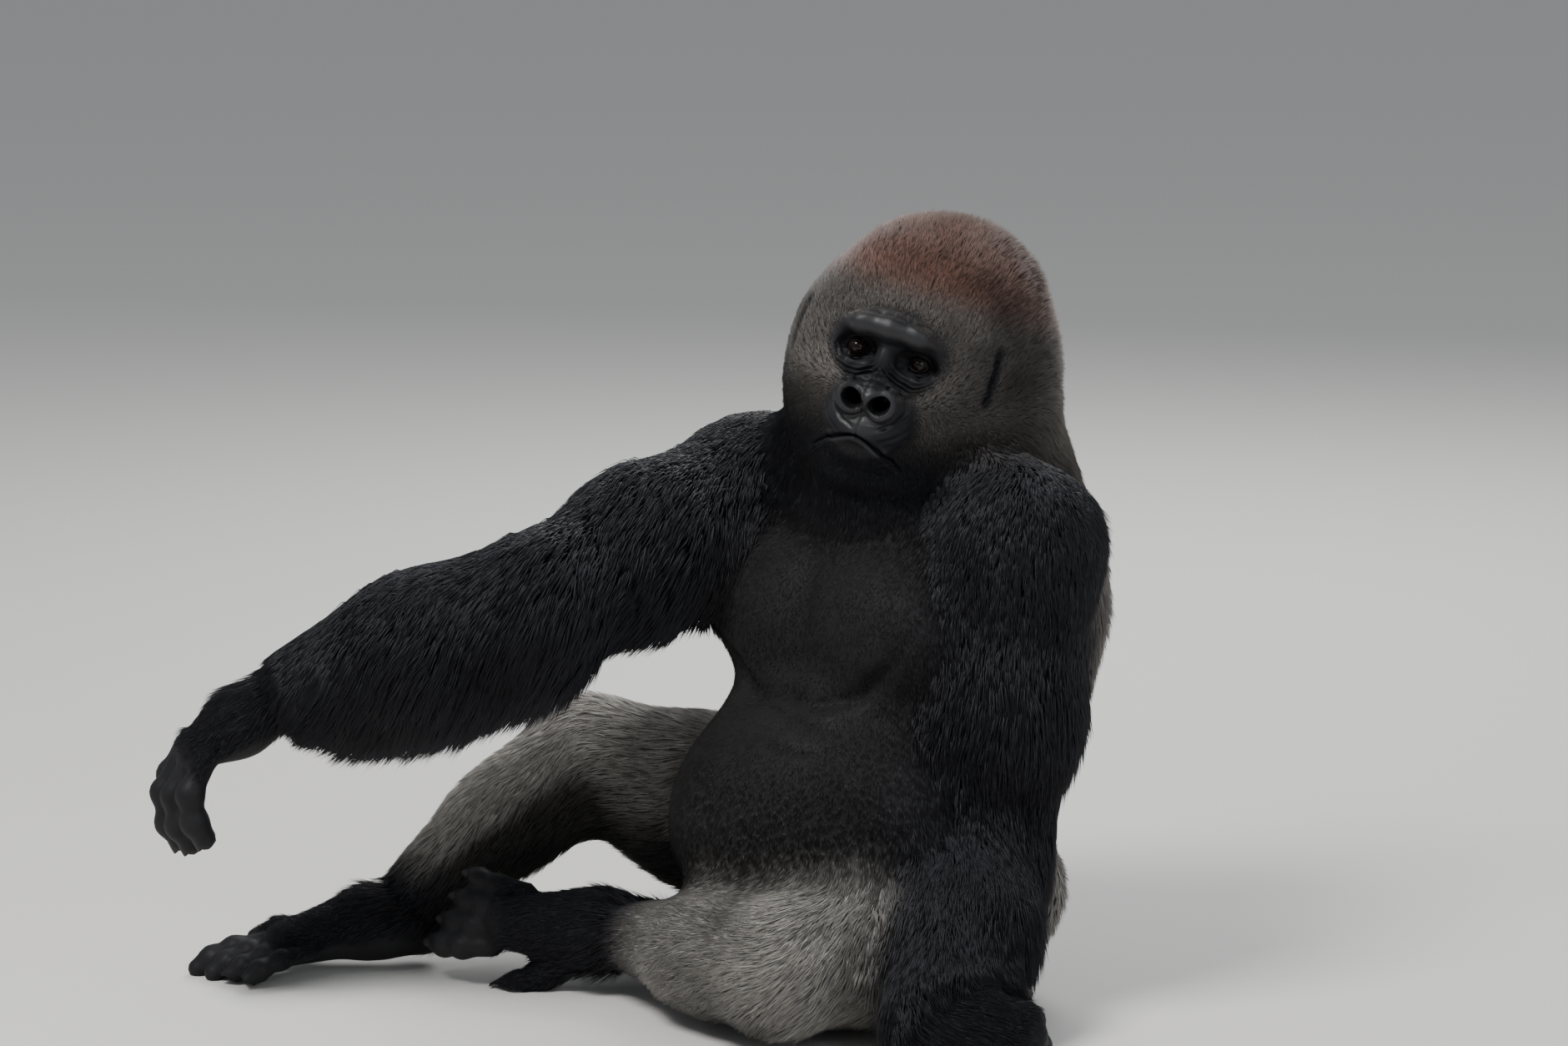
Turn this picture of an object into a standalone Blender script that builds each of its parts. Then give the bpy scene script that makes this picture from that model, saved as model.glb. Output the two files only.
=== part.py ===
"""An adult male lowland gorilla, life size, sitting with one arm reached out and the other propped.

Metres, +Z up. The animal faces -Y, its left side is +X, and it sits on the plane Z = 0.
Every part of the body is one closed solid. The solids reach to the tips of the coat.
"""

import math

import bmesh
import bpy
import numpy as np
from mathutils import Euler, Matrix, Vector

# --- Driving dimensions -------------------------------------------------------------------
GAP = 0.0004  # between parts cut from one chain
CONTACT_GAP = 0.0015  # between limbs pressed against each other
HUMERUS = 0.40
FOREARM = 0.335
FEMUR = 0.36
SHIN = 0.325
PALM = 0.125  # wrist to the knuckles
FINGER_BONES = (0.062, 0.042, 0.030)
FINGER_RADIUS = 0.0165
SOLE = 0.155  # ankle to the ball of the foot
EYE_RADIUS = 0.0135
EYE_SPACING = 0.078  # from centre to centre

HIP_HALF = 0.115
HIP_HEIGHT = 0.14
SHOULDER_L = Vector((0.215, -0.01, 0.585))
SHOULDER_R = Vector((-0.235, -0.02, 0.60))

HEAD_AT = Vector((0.10, -0.125, 0.815))  # the point midway between the eyes
HEAD_TURN = 32.0  # degrees towards its left
HEAD_NOD = 2.0  # degrees, chin down
HEAD_LEAN = 15.0  # degrees, crown towards its left shoulder

# Voxel size and number of triangles of each chain of the body, before it is parted.
CHAINS = {
    "axis": (0.009, 1440),
    "head": (0.005, 2620),
    "arm": (0.006, 1000),
    "leg": (0.006, 860),
}


# Parts pressed against each other: the first gives way to the second.
CONTACTS = (("thigh_l", "forearm_l"), ("thigh_l", "upper_arm_l"))


def heading(turn, rise):
    """A unit vector, turned from straight ahead towards the animal's left, then raised, in degrees."""
    turn, rise = math.radians(turn), math.radians(rise)
    return Vector((math.sin(turn) * math.cos(rise), -math.cos(turn) * math.cos(rise), math.sin(rise)))


# --- Skeleton: joint centres ----------------------------------------------------------------
HIP_L = Vector((HIP_HALF, 0.03, HIP_HEIGHT))
HIP_R = Vector((-HIP_HALF, 0.03, HIP_HEIGHT))
KNEE_L = HIP_L + FEMUR * heading(2, -6)
ANKLE_L = KNEE_L + SHIN * heading(-95, -4)
KNEE_R = HIP_R + FEMUR * heading(-57, 18)
ANKLE_R = KNEE_R + SHIN * heading(-22, -32)
ELBOW_L = SHOULDER_L + HUMERUS * heading(-70, -82)
WRIST_L = ELBOW_L + FOREARM * heading(34, -22)
ELBOW_R = SHOULDER_R + HUMERUS * heading(2, -14)
WRIST_R = ELBOW_R + FOREARM * heading(-39, -19)


# --- Forms: what the flesh is blended from --------------------------------------------------
class Lobe:
    """An ellipsoid of flesh, or a hollow of that shape where carve is set."""

    def __init__(self, centre, radii, turn=(0, 0, 0), blend=0.03, carve=False):
        self.centre = Vector(centre)
        self.radii = radii
        self.axes = Euler([math.radians(a) for a in turn]).to_matrix()
        self.blend, self.carve = blend, carve

    def placed(self, matrix):
        """The same lobe, carried along by a rigid matrix."""
        copy = Lobe(matrix @ self.centre, self.radii, blend=self.blend, carve=self.carve)
        copy.axes = matrix.to_3x3() @ self.axes
        return copy

    def extent(self):
        reach = max(self.radii)
        return [self.centre - Vector((reach,) * 3), self.centre + Vector((reach,) * 3)]

    def distance(self, points):
        local = (points - np.array(self.centre)) @ np.array(self.axes)
        radii = np.array(self.radii)
        k0 = np.linalg.norm(local / radii, axis=1)
        k1 = np.linalg.norm(local / radii**2, axis=1) + 1e-9
        return k0 * (k0 - 1.0) / k1


class Limb:
    """A tapering length of flesh between two points, flattened or widened along one direction."""

    def __init__(self, start, end, radius, end_radius, blend=0.03, wide=None, ratio=1.0):
        self.start, self.end = Vector(start), Vector(end)
        self.radius, self.end_radius = radius, end_radius
        self.blend, self.carve = blend, False
        self.wide = Vector(wide).normalized() if wide is not None else None
        self.ratio = ratio

    def placed(self, matrix):
        """The same limb, carried along by a rigid matrix."""
        wide = matrix.to_3x3() @ self.wide if self.wide else None
        ends = matrix @ self.start, matrix @ self.end
        return Limb(*ends, self.radius, self.end_radius, self.blend, wide, self.ratio)

    def extent(self):
        reach = Vector((max(self.radius, self.end_radius) * max(1.0, self.ratio),) * 3)
        return [self.start - reach, self.start + reach, self.end - reach, self.end + reach]

    def distance(self, points):
        start, axis = np.array(self.start), np.array(self.end - self.start)
        offset = points - start
        along = np.clip(offset @ axis / (axis @ axis), 0.0, 1.0)
        offset = offset - along[:, None] * axis
        if self.wide is not None:
            wide = np.array(self.wide)
            offset = offset + np.outer(offset @ wide, wide) * (1.0 / self.ratio - 1.0)
        radius = self.radius + (self.end_radius - self.radius) * along
        return (np.linalg.norm(offset, axis=1) - radius) * min(1.0, self.ratio)


def field(forms, points):
    """How far each point is outside the blended forms, about; negative inside."""
    total = forms[0].distance(points)
    for form in forms[1:]:
        reach = form.distance(points)
        if form.carve:
            blend = np.maximum(form.blend - np.abs(total + reach), 0.0)
            total = np.maximum(total, -reach) + blend**2 / form.blend / 4
        else:
            blend = np.maximum(form.blend - np.abs(total - reach), 0.0)
            total = np.minimum(total, reach) - blend**2 / form.blend / 4
    return total


def clear_checkers(values):
    """Fills grid squares and cells whose corners alternate in sign, where the surface would touch itself."""
    values[values == 0.0] = 1e-9
    for _ in range(6):
        for axis in range(3):
            flat = np.moveaxis(values, axis, 0)
            a, b, c, d = (flat[:, :-1, :-1], flat[:, 1:, :-1], flat[:, :-1, 1:], flat[:, 1:, 1:])
            first = (a < 0) & (d < 0) & (b > 0) & (c > 0)
            second = (b < 0) & (c < 0) & (a > 0) & (d > 0)
            b[first] = np.minimum(b[first], -1e-4)
            a[second] = np.minimum(a[second], -1e-4)
        cells = [values[x:x - 1 or None, y:y - 1 or None, z:z - 1 or None]
                 for x in (0, 1) for y in (0, 1) for z in (0, 1)]
        inside = sum((cell < 0).astype(int) for cell in cells)
        for low in range(4):
            pair = (inside == 2) & (cells[low] < 0) & (cells[7 - low] < 0)
            pair |= (inside == 6) & (cells[low] > 0) & (cells[7 - low] > 0)
            for cell in (cells[1], cells[3]):
                cell[pair] = np.minimum(cell[pair], -1e-4)


def surface(forms, voxel):
    """The surface of the blended forms as points and four-sided faces, one point to a crossed cell."""
    corners = [c for form in forms if not form.carve for c in form.extent()]
    low = np.min(np.array(corners), axis=0) - 4 * voxel
    high = np.max(np.array(corners), axis=0) + 4 * voxel
    counts = np.ceil((high - low) / voxel).astype(int) + 1
    grid = np.stack(np.meshgrid(*[np.arange(n) for n in counts], indexing="ij"), -1)
    values = field(forms, grid.reshape(-1, 3) * voxel + low).reshape(counts)
    clear_checkers(values)
    cells = counts - 1
    total, hits = np.zeros((*cells, 3)), np.zeros(cells)
    crossed = []
    for axis in range(3):
        ends = np.moveaxis(values, axis, 0)
        first, second = np.moveaxis(ends[:-1], 0, axis), np.moveaxis(ends[1:], 0, axis)
        at = np.argwhere((first < 0) != (second < 0))
        a, b = first[tuple(at.T)], second[tuple(at.T)]
        spots = at.astype(float)
        spots[:, axis] += a / (a - b)
        side, other = (axis + 1) % 3, (axis + 2) % 3
        quad = []
        for step_side, step_other in ((0, 0), (-1, 0), (-1, -1), (0, -1)):
            cell = at.copy()
            cell[:, side] += step_side
            cell[:, other] += step_other
            np.add.at(total, tuple(cell.T), spots)
            np.add.at(hits, tuple(cell.T), 1)
            quad.append(cell)
        crossed.append((quad, a < 0))
    used = hits > 0
    number = np.full(cells, -1)
    number[used] = np.arange(used.sum())
    points = total[used] / hits[used][:, None] * voxel + low
    faces = []
    for quad, outward in crossed:
        ring = np.stack([number[tuple(cell.T)] for cell in quad], -1)
        ring[~outward] = ring[~outward][:, ::-1]
        faces += ring.tolist()
    return points, faces


def new_object(name, mesh):
    obj = bpy.data.objects.new(name, mesh)
    bpy.context.scene.collection.objects.link(obj)
    return obj


def bake(obj):
    """Replaces the mesh by what its modifiers make of it."""
    graph = bpy.context.evaluated_depsgraph_get()
    obj.data = bpy.data.meshes.new_from_object(obj.evaluated_get(graph))
    obj.modifiers.clear()
    return obj


def thinned(obj, faces):
    """The same shape in about that many triangles."""
    obj.data.calc_loop_triangles()
    thin = obj.modifiers.new("Decimate", "DECIMATE")
    thin.ratio = min(1.0, faces / len(obj.data.loop_triangles))
    thin.use_collapse_triangulate = True
    return bake(obj)


def body_over(name, forms, voxel, faces):
    """One closed mesh over the forms, cut flat where it meets the floor."""
    points, rings = surface(forms, voxel)
    mesh = bpy.data.meshes.new(name)
    mesh.from_pydata(points.tolist(), [], rings)
    mesh.validate()
    obj = thinned(new_object(name, mesh), faces)
    return obj if points[:, 2].min() > 0 else halved(obj, name, Vector((0, 0, 0)), Vector((0, 0, -1)))


def halved(obj, name, point, normal):
    """Keeps the part of the mesh behind the plane, closed; its normal points to what goes."""
    bm = bmesh.new()
    bm.from_mesh(obj.data)
    geom = bm.verts[:] + bm.edges[:] + bm.faces[:]
    bmesh.ops.bisect_plane(bm, geom=geom, plane_co=point, plane_no=normal, clear_outer=True, dist=1e-6)
    rim = [e for e in bm.edges if e.is_boundary]
    caps = bmesh.ops.holes_fill(bm, edges=rim, sides=0)["faces"]
    bmesh.ops.triangulate(bm, faces=caps)
    mesh = bpy.data.meshes.new(name)
    bm.to_mesh(mesh)
    bm.free()
    return new_object(name, mesh)


def parted(obj, cuts, names):
    """Cuts a chain across at each (point, direction) into one object per name, with a thin gap between."""
    pieces = []
    for index, name in enumerate(names):
        piece = obj
        if index > 0:
            point, along = cuts[index - 1]
            piece = halved(piece, name, point + along * GAP / 2, -along)
        if index < len(cuts):
            point, along = cuts[index]
            piece = halved(piece, name, point - along * GAP / 2, along)
        pieces.append(piece)
    remove_all(pieces)
    for name, piece in zip(names, pieces):
        piece.name = name
    return pieces


def remove_all(keep):
    """Removes every object that is neither kept nor already finished."""
    for other in list(bpy.data.objects):
        if other not in keep and other not in FINISHED:
            bpy.data.objects.remove(other, do_unlink=True)


FINISHED = []


def carved(obj, others, gap=GAP):
    """Takes the other bodies, grown by the gap, out of this one."""
    for other in others:
        grown = new_object("cutter", other.data.copy())
        bm = bmesh.new()
        bm.from_mesh(grown.data)
        bm.normal_update()
        for vert in bm.verts:
            vert.co += vert.normal * gap
        bm.to_mesh(grown.data)
        bm.free()
        take = obj.modifiers.new("Boolean", "BOOLEAN")
        take.operation, take.solver, take.object = "DIFFERENCE", "EXACT", grown
        bake(obj)
        bpy.data.objects.remove(grown, do_unlink=True)
    return largest(obj)


def largest(obj):
    """Keeps only the largest connected body of a mesh, triangulated."""
    bm = bmesh.new()
    bm.from_mesh(obj.data)
    bmesh.ops.remove_doubles(bm, verts=bm.verts, dist=0.00005)
    bmesh.ops.triangulate(bm, faces=bm.faces)
    seen, groups = set(), []
    for vert in bm.verts:
        if vert in seen:
            continue
        group, queue = [], [vert]
        seen.add(vert)
        while queue:
            current = queue.pop()
            group.append(current)
            for edge in current.link_edges:
                other = edge.other_vert(current)
                if other not in seen:
                    seen.add(other)
                    queue.append(other)
        groups.append(group)
    groups.sort(key=len)
    bmesh.ops.delete(bm, geom=[v for g in groups[:-1] for v in g], context="VERTS")
    bm.to_mesh(obj.data)
    bm.free()
    return obj


# --- Head: drawn about the point between the eyes, the face towards -Y ----------------------
def mirrored(lobes):
    """Each lobe of the animal's left side, and its twin on the right."""
    pairs = []
    for lobe in lobes:
        twin = Lobe((-lobe.centre.x, lobe.centre.y, lobe.centre.z), lobe.radii, blend=lobe.blend,
                    carve=lobe.carve)
        flip = Matrix.Diagonal((-1, 1, 1))
        twin.axes = flip @ lobe.axes @ flip
        pairs += [lobe, twin]
    return pairs


def head_matrix():
    turn = Matrix.Rotation(math.radians(HEAD_TURN), 4, "Z")
    nod = Matrix.Rotation(math.radians(HEAD_NOD), 4, "X")
    lean = Matrix.Rotation(math.radians(HEAD_LEAN), 4, "Y")
    return Matrix.Translation(HEAD_AT) @ turn @ lean @ nod


def head_forms():
    eye = EYE_SPACING / 2
    forms = [
        Lobe((0.008, 0.132, 0.022), (0.119, 0.128, 0.110), blend=0.05),  # skull
        Lobe((0.012, 0.145, 0.064), (0.054, 0.090, 0.058), (-12, 0, 0), 0.070),  # crest
        Lobe((0.036, 0.195, 0.034), (0.118, 0.098, 0.112), blend=0.06),  # nape
    ]
    forms += mirrored([
        Lobe((0.080, 0.088, -0.040), (0.058, 0.085, 0.100), blend=0.05),  # cheek
        Lobe((0.044, 0.078, -0.118), (0.048, 0.064, 0.066), blend=0.05),  # corner of the jaw
        Lobe((0.052, 0.030, -0.034), (0.026, 0.026, 0.030), blend=0.03),  # cheekbone
    ])
    forms += [
        Lobe((0, 0.036, -0.086), (0.058, 0.080, 0.060), blend=0.04),  # jaws
        Lobe((0, -0.008, -0.082), (0.050, 0.042, 0.024), blend=0.016),  # upper lip
        Lobe((0, 0.000, -0.117), (0.046, 0.043, 0.026), blend=0.012),  # lower lip
        Lobe((0, 0.045, -0.148), (0.055, 0.060, 0.036), blend=0.03),  # chin
        Lobe((0, 0.003, -0.016), (0.013, 0.021, 0.034), (20, 0, 0), 0.018),  # bridge
    ]
    for side in (1, -1):
        forms += [
            Limb((0, -0.012, 0.038), (side * 0.036, -0.007, 0.037), 0.0150, 0.0160, 0.012),  # brow
            Limb((side * 0.036, -0.007, 0.037), (side * 0.070, 0.024, 0.025), 0.0160, 0.0120, 0.012),
        ]
    forms += mirrored([
        Lobe((0.0245, -0.038, -0.050), (0.0220, 0.0225, 0.0245), (0, 16, 0), 0.007),  # wing of the nose
    ])
    forms += [Lobe((0, -0.040, -0.041), (0.016, 0.020, 0.018), (20, 0, 0), 0.010)]  # tip of the nose
    forms += mirrored([
        Lobe((eye, 0.006, -0.001), (0.026, 0.021, 0.016), (0, 6, -10), 0.012, True),  # eye hollow
        Lobe((0.0190, -0.060, -0.050), (0.0124, 0.0160, 0.0142), (0, 42, 0), 0.004, True),  # nostril
    ])
    return forms


def make_eyes(place):
    eyes = []
    for name, side in (("eye_l", 1), ("eye_r", -1)):
        bm = bmesh.new()
        bmesh.ops.create_icosphere(bm, subdivisions=2, radius=EYE_RADIUS)
        mesh = bpy.data.meshes.new(name)
        bm.to_mesh(mesh)
        bm.free()
        mesh.transform(place @ Matrix.Translation((side * EYE_SPACING / 2, 0.019, -0.001)))
        eyes.append(new_object(name, mesh))
    return eyes


def make_ears(place):
    ears = []
    for name, side in (("ear_l", 1), ("ear_r", -1)):
        forms = [
            Lobe((side * 0.130 + 0.006, 0.082, 0.004), (0.012, 0.019, 0.029), (8, side * 8, side * 24),
                 0.01),
            Lobe((side * 0.142 + 0.006, 0.071, 0.006), (0.010, 0.009, 0.018), (0, side * 8, side * 24),
                 0.005, True),
        ]
        ears.append(body_over(name, [f.placed(place) for f in forms], 0.0016, 150))
    return ears


# --- Trunk ----------------------------------------------------------------------------------
def trunk_forms():
    forms = [
        Lobe((0, -0.022, 0.150), (0.180, 0.154, 0.175), blend=0.08),  # pelvis
        Lobe((0, -0.085, 0.225), (0.228, 0.235, 0.190), blend=0.07),  # belly
        Lobe((0, 0.025, 0.400), (0.230, 0.190, 0.190), blend=0.08),  # ribs
        Lobe((0, 0.050, 0.560), (0.215, 0.150, 0.115), blend=0.08),  # shoulder girdle
    ]
    forms += mirrored([
        Lobe((0.080, 0.036, 0.112), (0.102, 0.098, 0.120), blend=0.07),  # rump
        Lobe((0.095, -0.114, 0.482), (0.115, 0.074, 0.092), (-14, 0, 12), 0.022),  # breast
        Lobe((0.105, 0.135, 0.520), (0.120, 0.085, 0.130), (16, 0, -18), 0.050),  # shoulder blade
        Lobe((0.078, 0.108, 0.365), (0.110, 0.085, 0.170), (-10, 0, -10), 0.060),  # flank of the back
        Lobe((0.185, 0.015, 0.588), (0.098, 0.110, 0.092), blend=0.06),  # shoulder root
    ])
    return forms


def neck_forms():
    nape = head_matrix() @ Vector((0, 0.150, -0.010))
    throat = head_matrix() @ Vector((0, 0.100, -0.100))
    return [
        Limb((0, 0.100, 0.600), nape, 0.145, 0.120, 0.07),
        Limb((0, -0.010, 0.560), throat, 0.120, 0.085, 0.06),
        Limb(SHOULDER_L + Vector((-0.03, 0.03, 0.0)), nape, 0.075, 0.080, 0.07),
        Limb(SHOULDER_R + Vector((0.03, 0.03, 0.0)), nape, 0.075, 0.080, 0.07),
        Limb((0.040, 0.120, 0.640), (0.085, 0.085, 0.770), 0.095, 0.072, 0.06),
    ]


# --- Hands and feet: drawn pointing along -Y, the back towards +Z, the thumb side towards +X --
def finger(base, aim, bones, curls, radius, fan=0.0):
    """A chain of limbs from a knuckle, each bone bent down by its own curl from the one before."""
    limbs, point, bend = [], Vector(base), aim
    for bone, curl in zip(bones, curls):
        bend += curl
        step = Vector((math.sin(math.radians(fan)), -math.cos(math.radians(fan)), 0))
        way = step * math.cos(math.radians(bend)) - Vector((0, 0, math.sin(math.radians(bend))))
        end = point + bone * way
        limbs.append(Limb(point, end, radius, radius * 0.93, 0.006))
        point = end
    return limbs


def hand_forms(curls, thumb_curl, droop=0.0):
    """A hand from the wrist at the origin: palm, four fingers, thumb."""
    forms = [
        Limb((0, 0.03, 0), (0, -0.05, 0), 0.040, 0.040, 0.03, (1, 0, 0), 1.25),
        Limb((0, -0.05, 0), (0, -PALM + 0.01, -0.002), 0.031, 0.023, 0.03, (1, 0, 0), 2.0),
    ]
    for index in range(4):
        across = 0.040 - 0.0265 * index
        length = 1.0 - 0.09 * abs(index - 1.3)
        base = (across, -PALM + 0.012 * abs(index - 1.2), 0.0)
        bones = [length * bone for bone in FINGER_BONES]
        forms += finger(base, droop, bones, curls, FINGER_RADIUS, 5 - 5 * index)
    forms += [Limb((0.030, -0.010, -0.012), (0.056, -0.060, -0.016), 0.021, 0.016, 0.02)]
    forms += finger((0.056, -0.060, -0.016), 10, (0.030, 0.026), thumb_curl, 0.0145, 16)
    return forms


def foot_forms(curls):
    """A foot from the ankle at the origin: heel, sole, four toes, the great toe set apart."""
    forms = [
        Limb((0, 0.045, -0.030), (0, -0.02, -0.018), 0.040, 0.044, 0.03),  # heel
        Limb((0, -0.02, -0.015), (-0.004, -SOLE + 0.02, -0.030), 0.044, 0.030, 0.03, (1, 0, 0), 1.25),
    ]
    for index in range(4):
        across = 0.028 - 0.024 * index
        base = (across, -SOLE + 0.014 * index, -0.034)
        forms += finger(base, 2, (0.040, 0.030, 0.022), curls, 0.0155 - 0.001 * index, 4 - 4 * index)
    forms += [Limb((0.020, -0.035, -0.032), (0.064, -0.092, -0.034), 0.028, 0.022, 0.02)]
    forms += finger((0.064, -0.092, -0.034), 0, (0.036, 0.030), (4, 16), 0.021, 26)
    return forms


def laid(forms, root, point_to, back_to, left):
    """Carries forms drawn along -Y to a joint, aimed and rolled, mirrored for the animal's left."""
    forward = Vector(point_to).normalized()
    back = (Vector(back_to) - Vector(back_to).dot(forward) * forward).normalized()
    side = back.cross(forward) if left else forward.cross(back)
    rotation = Matrix((side, -forward, back)).transposed()
    return [form.placed(Matrix.Translation(root) @ rotation.to_4x4()) for form in forms]


# --- Limbs ----------------------------------------------------------------------------------
def arm_forms(shoulder, elbow, wrist, hang, fringe):
    """Shoulder cap, upper arm and forearm, with the long coat hanging from both."""
    upper, lower = (elbow - shoulder).normalized(), (wrist - elbow).normalized()
    drop = Vector((0, 0, -1))
    return [
        Lobe(shoulder, (0.100, 0.105, 0.100), blend=0.05),
        Limb(shoulder, shoulder + upper * 0.2, 0.098, 0.102, 0.06),
        Limb(shoulder + upper * 0.2, elbow, 0.102, 0.086, 0.06),
        Limb(elbow, elbow + lower * 0.16, 0.088, 0.098, 0.05),
        Limb(elbow + lower * 0.14, wrist - lower * 0.04, 0.096, 0.066, 0.05),
        Limb(wrist - lower * 0.06, wrist, 0.062, 0.050, 0.04),
        Limb(elbow + drop * hang, elbow + lower * 0.2 + drop * fringe, 0.050, 0.045, 0.07),
    ]


def leg_forms(hip, knee, ankle):
    """Thigh, knee and calf."""
    thigh, shin = (knee - hip).normalized(), (ankle - knee).normalized()
    return [
        Limb(hip, hip + thigh * 0.20, 0.110, 0.108, 0.05),
        Limb(hip + thigh * 0.18, knee, 0.108, 0.078, 0.06),
        Limb(knee, knee + shin * 0.14, 0.076, 0.070, 0.05),
        Limb(knee + shin * 0.12, ankle, 0.070, 0.046, 0.05),
    ]


def make_arms():
    """Each arm's parts, from the shoulder to the hand."""
    sides = []
    hand_r = hand_forms((26, 34, 22), (10, 20), 8)
    hand_l = hand_forms((75, 75, 40), (15, 25), 5)
    aim_r, aim_l = heading(-32, -30), Vector((0.70, 0.70, -0.20)).normalized()
    lay_r = laid(hand_r, WRIST_R, aim_r, (0, -0.3, 1), False)
    lay_l = laid(hand_l, WRIST_L, aim_l, (0.6, -0.75, 0.5), True)
    arms = (
        ("l", SHOULDER_L, ELBOW_L, WRIST_L, aim_l, lay_l, 0.01, 0.03),
        ("r", SHOULDER_R, ELBOW_R, WRIST_R, aim_r, lay_r, 0.070, 0.045),
    )
    for side, shoulder, elbow, wrist, aim, hand, hang, fringe in arms:
        forms = arm_forms(shoulder, elbow, wrist, hang, fringe) + hand
        body = body_over("arm", forms, *CHAINS["arm"])
        upper, lower = (elbow - shoulder).normalized(), (wrist - elbow).normalized()
        cuts = [(elbow, (upper + lower).normalized()), (wrist - aim * 0.01, (aim + lower).normalized())]
        names = ["upper_arm_" + side, "forearm_" + side, "hand_" + side]
        sides.append(parted(body, cuts, names))
        FINISHED.extend(sides[-1])
    return sides


def make_legs():
    """Each leg's parts, from the hip to the foot."""
    sides = []
    lay_l = laid(foot_forms((14, 22, 18)), ANKLE_L, heading(-44, 2), heading(46, 4), True)
    lay_r = laid(foot_forms((4, 12, 12)), ANKLE_R, heading(-26, -3), (0, 0, 1), False)
    for side, hip, knee, ankle, foot in (
        ("l", HIP_L, KNEE_L, ANKLE_L, lay_l),
        ("r", HIP_R, KNEE_R, ANKLE_R, lay_r),
    ):
        body = body_over("leg", leg_forms(hip, knee, ankle) + foot, *CHAINS["leg"])
        thigh, shin = (knee - hip).normalized(), (ankle - knee).normalized()
        cuts = [(knee, (thigh + shin).normalized()), (ankle - shin * 0.035, shin)]
        names = ["thigh_" + side, "shank_" + side, "foot_" + side]
        sides.append(parted(body, cuts, names))
        FINISHED.extend(sides[-1])
    return sides


def make_axis():
    """Head, neck and trunk; the head is hollowed where eyes and ears are set in."""
    place = head_matrix()
    top = neck_forms() + [form.placed(place) for form in head_forms()]
    up = (place.to_3x3() @ Vector((0, -0.62, 1))).normalized()
    base = place @ Vector((0, 0.10, -0.135))
    root = Vector((0.0, 0.05, 0.655))
    cuts = [(root, Vector((0, -0.30, 1)).normalized()), (base, up)]
    trunk, neck, _ = parted(body_over("axis", trunk_forms() + top, *CHAINS["axis"]), cuts,
                            ["trunk", "neck", "top"])
    whole, trunk = trunk, halved(trunk, "trunk", base - up * GAP / 2, up)
    bpy.data.objects.remove(whole, do_unlink=True)
    trunk.name = "trunk"
    FINISHED.extend((trunk, neck))
    head = parted(body_over("top", top, *CHAINS["head"]), cuts[1:], ["rest", "head"])[1]
    FINISHED.append(head)
    eyes, ears = make_eyes(place), make_ears(place)
    for ear in ears:
        carved(ear, [head])
    carved(head, eyes)
    return [head, neck, trunk, *eyes, *ears]


# --- Materials --------------------------------------------------------------------------------
COLOURS = {
    "coat_black": ((0.020, 0.020, 0.024), 0.75, ("upper_arm", "forearm", "trunk")),
    "coat_brown": ((0.060, 0.038, 0.028), 0.75, ("head", "neck")),
    "coat_silver": ((0.240, 0.235, 0.230), 0.75, ("thigh", "shank")),
    "skin_black": ((0.018, 0.018, 0.021), 0.45, ("hand", "foot", "ear")),
    "eye_brown": ((0.030, 0.014, 0.008), 0.10, ("eye",)),
}


def finish(objects):
    """Gives each part its own material and clears away the helpers."""
    for obj in objects:
        colour, rough = next((c, r) for c, r, kinds in COLOURS.values() if obj.name.startswith(kinds))
        material = bpy.data.materials.new(obj.name + "_finish")
        material.use_nodes = True
        shader = material.node_tree.nodes["Principled BSDF"]
        shader.inputs["Base Color"].default_value = (*colour, 1.0)
        shader.inputs["Roughness"].default_value = rough
        obj.data.materials.clear()
        obj.data.materials.append(material)
        obj.data.name = obj.name


def main():
    for obj in list(bpy.data.objects):
        bpy.data.objects.remove(obj, do_unlink=True)
    axis = make_axis()
    FINISHED.extend(axis)
    limbs = [piece for side in make_arms() + make_legs() for piece in side]
    for limb in limbs:
        carved(limb, axis[:3])
    for soft, firm in CONTACTS:
        carved(bpy.data.objects[soft], [bpy.data.objects[firm]], CONTACT_GAP)
    finish(limbs + axis)


main()
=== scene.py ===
"""The looks of the seated silverback: one skin, bare folded face, eyes, nails and a coat of solid tufts.

Metres, +Z up. The chest faces -Y, the animal's left is +X, and the floor is Z = 0.
"""

from __future__ import annotations

import logging
import math
from dataclasses import dataclass, field
from enum import Enum

import bmesh
import bpy
import numpy as np
from mathutils import Euler, Matrix, Vector
from mathutils.bvhtree import BVHTree
from mathutils.kdtree import KDTree


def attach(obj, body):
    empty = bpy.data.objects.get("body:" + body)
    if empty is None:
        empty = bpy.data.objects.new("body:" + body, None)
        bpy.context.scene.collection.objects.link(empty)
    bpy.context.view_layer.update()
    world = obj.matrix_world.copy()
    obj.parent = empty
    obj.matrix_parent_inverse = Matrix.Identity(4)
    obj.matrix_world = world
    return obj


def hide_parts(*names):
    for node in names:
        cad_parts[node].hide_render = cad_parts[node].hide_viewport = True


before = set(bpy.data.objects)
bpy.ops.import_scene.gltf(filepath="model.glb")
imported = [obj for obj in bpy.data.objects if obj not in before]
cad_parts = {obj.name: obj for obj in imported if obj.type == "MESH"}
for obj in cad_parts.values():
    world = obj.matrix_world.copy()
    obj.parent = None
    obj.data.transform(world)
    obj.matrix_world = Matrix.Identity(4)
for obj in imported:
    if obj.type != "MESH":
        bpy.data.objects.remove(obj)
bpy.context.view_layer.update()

LOG = logging.getLogger("silverback")
UP = Vector((0, 0, 1))
MIRROR = Matrix.Diagonal((-1, 1, 1))

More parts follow.
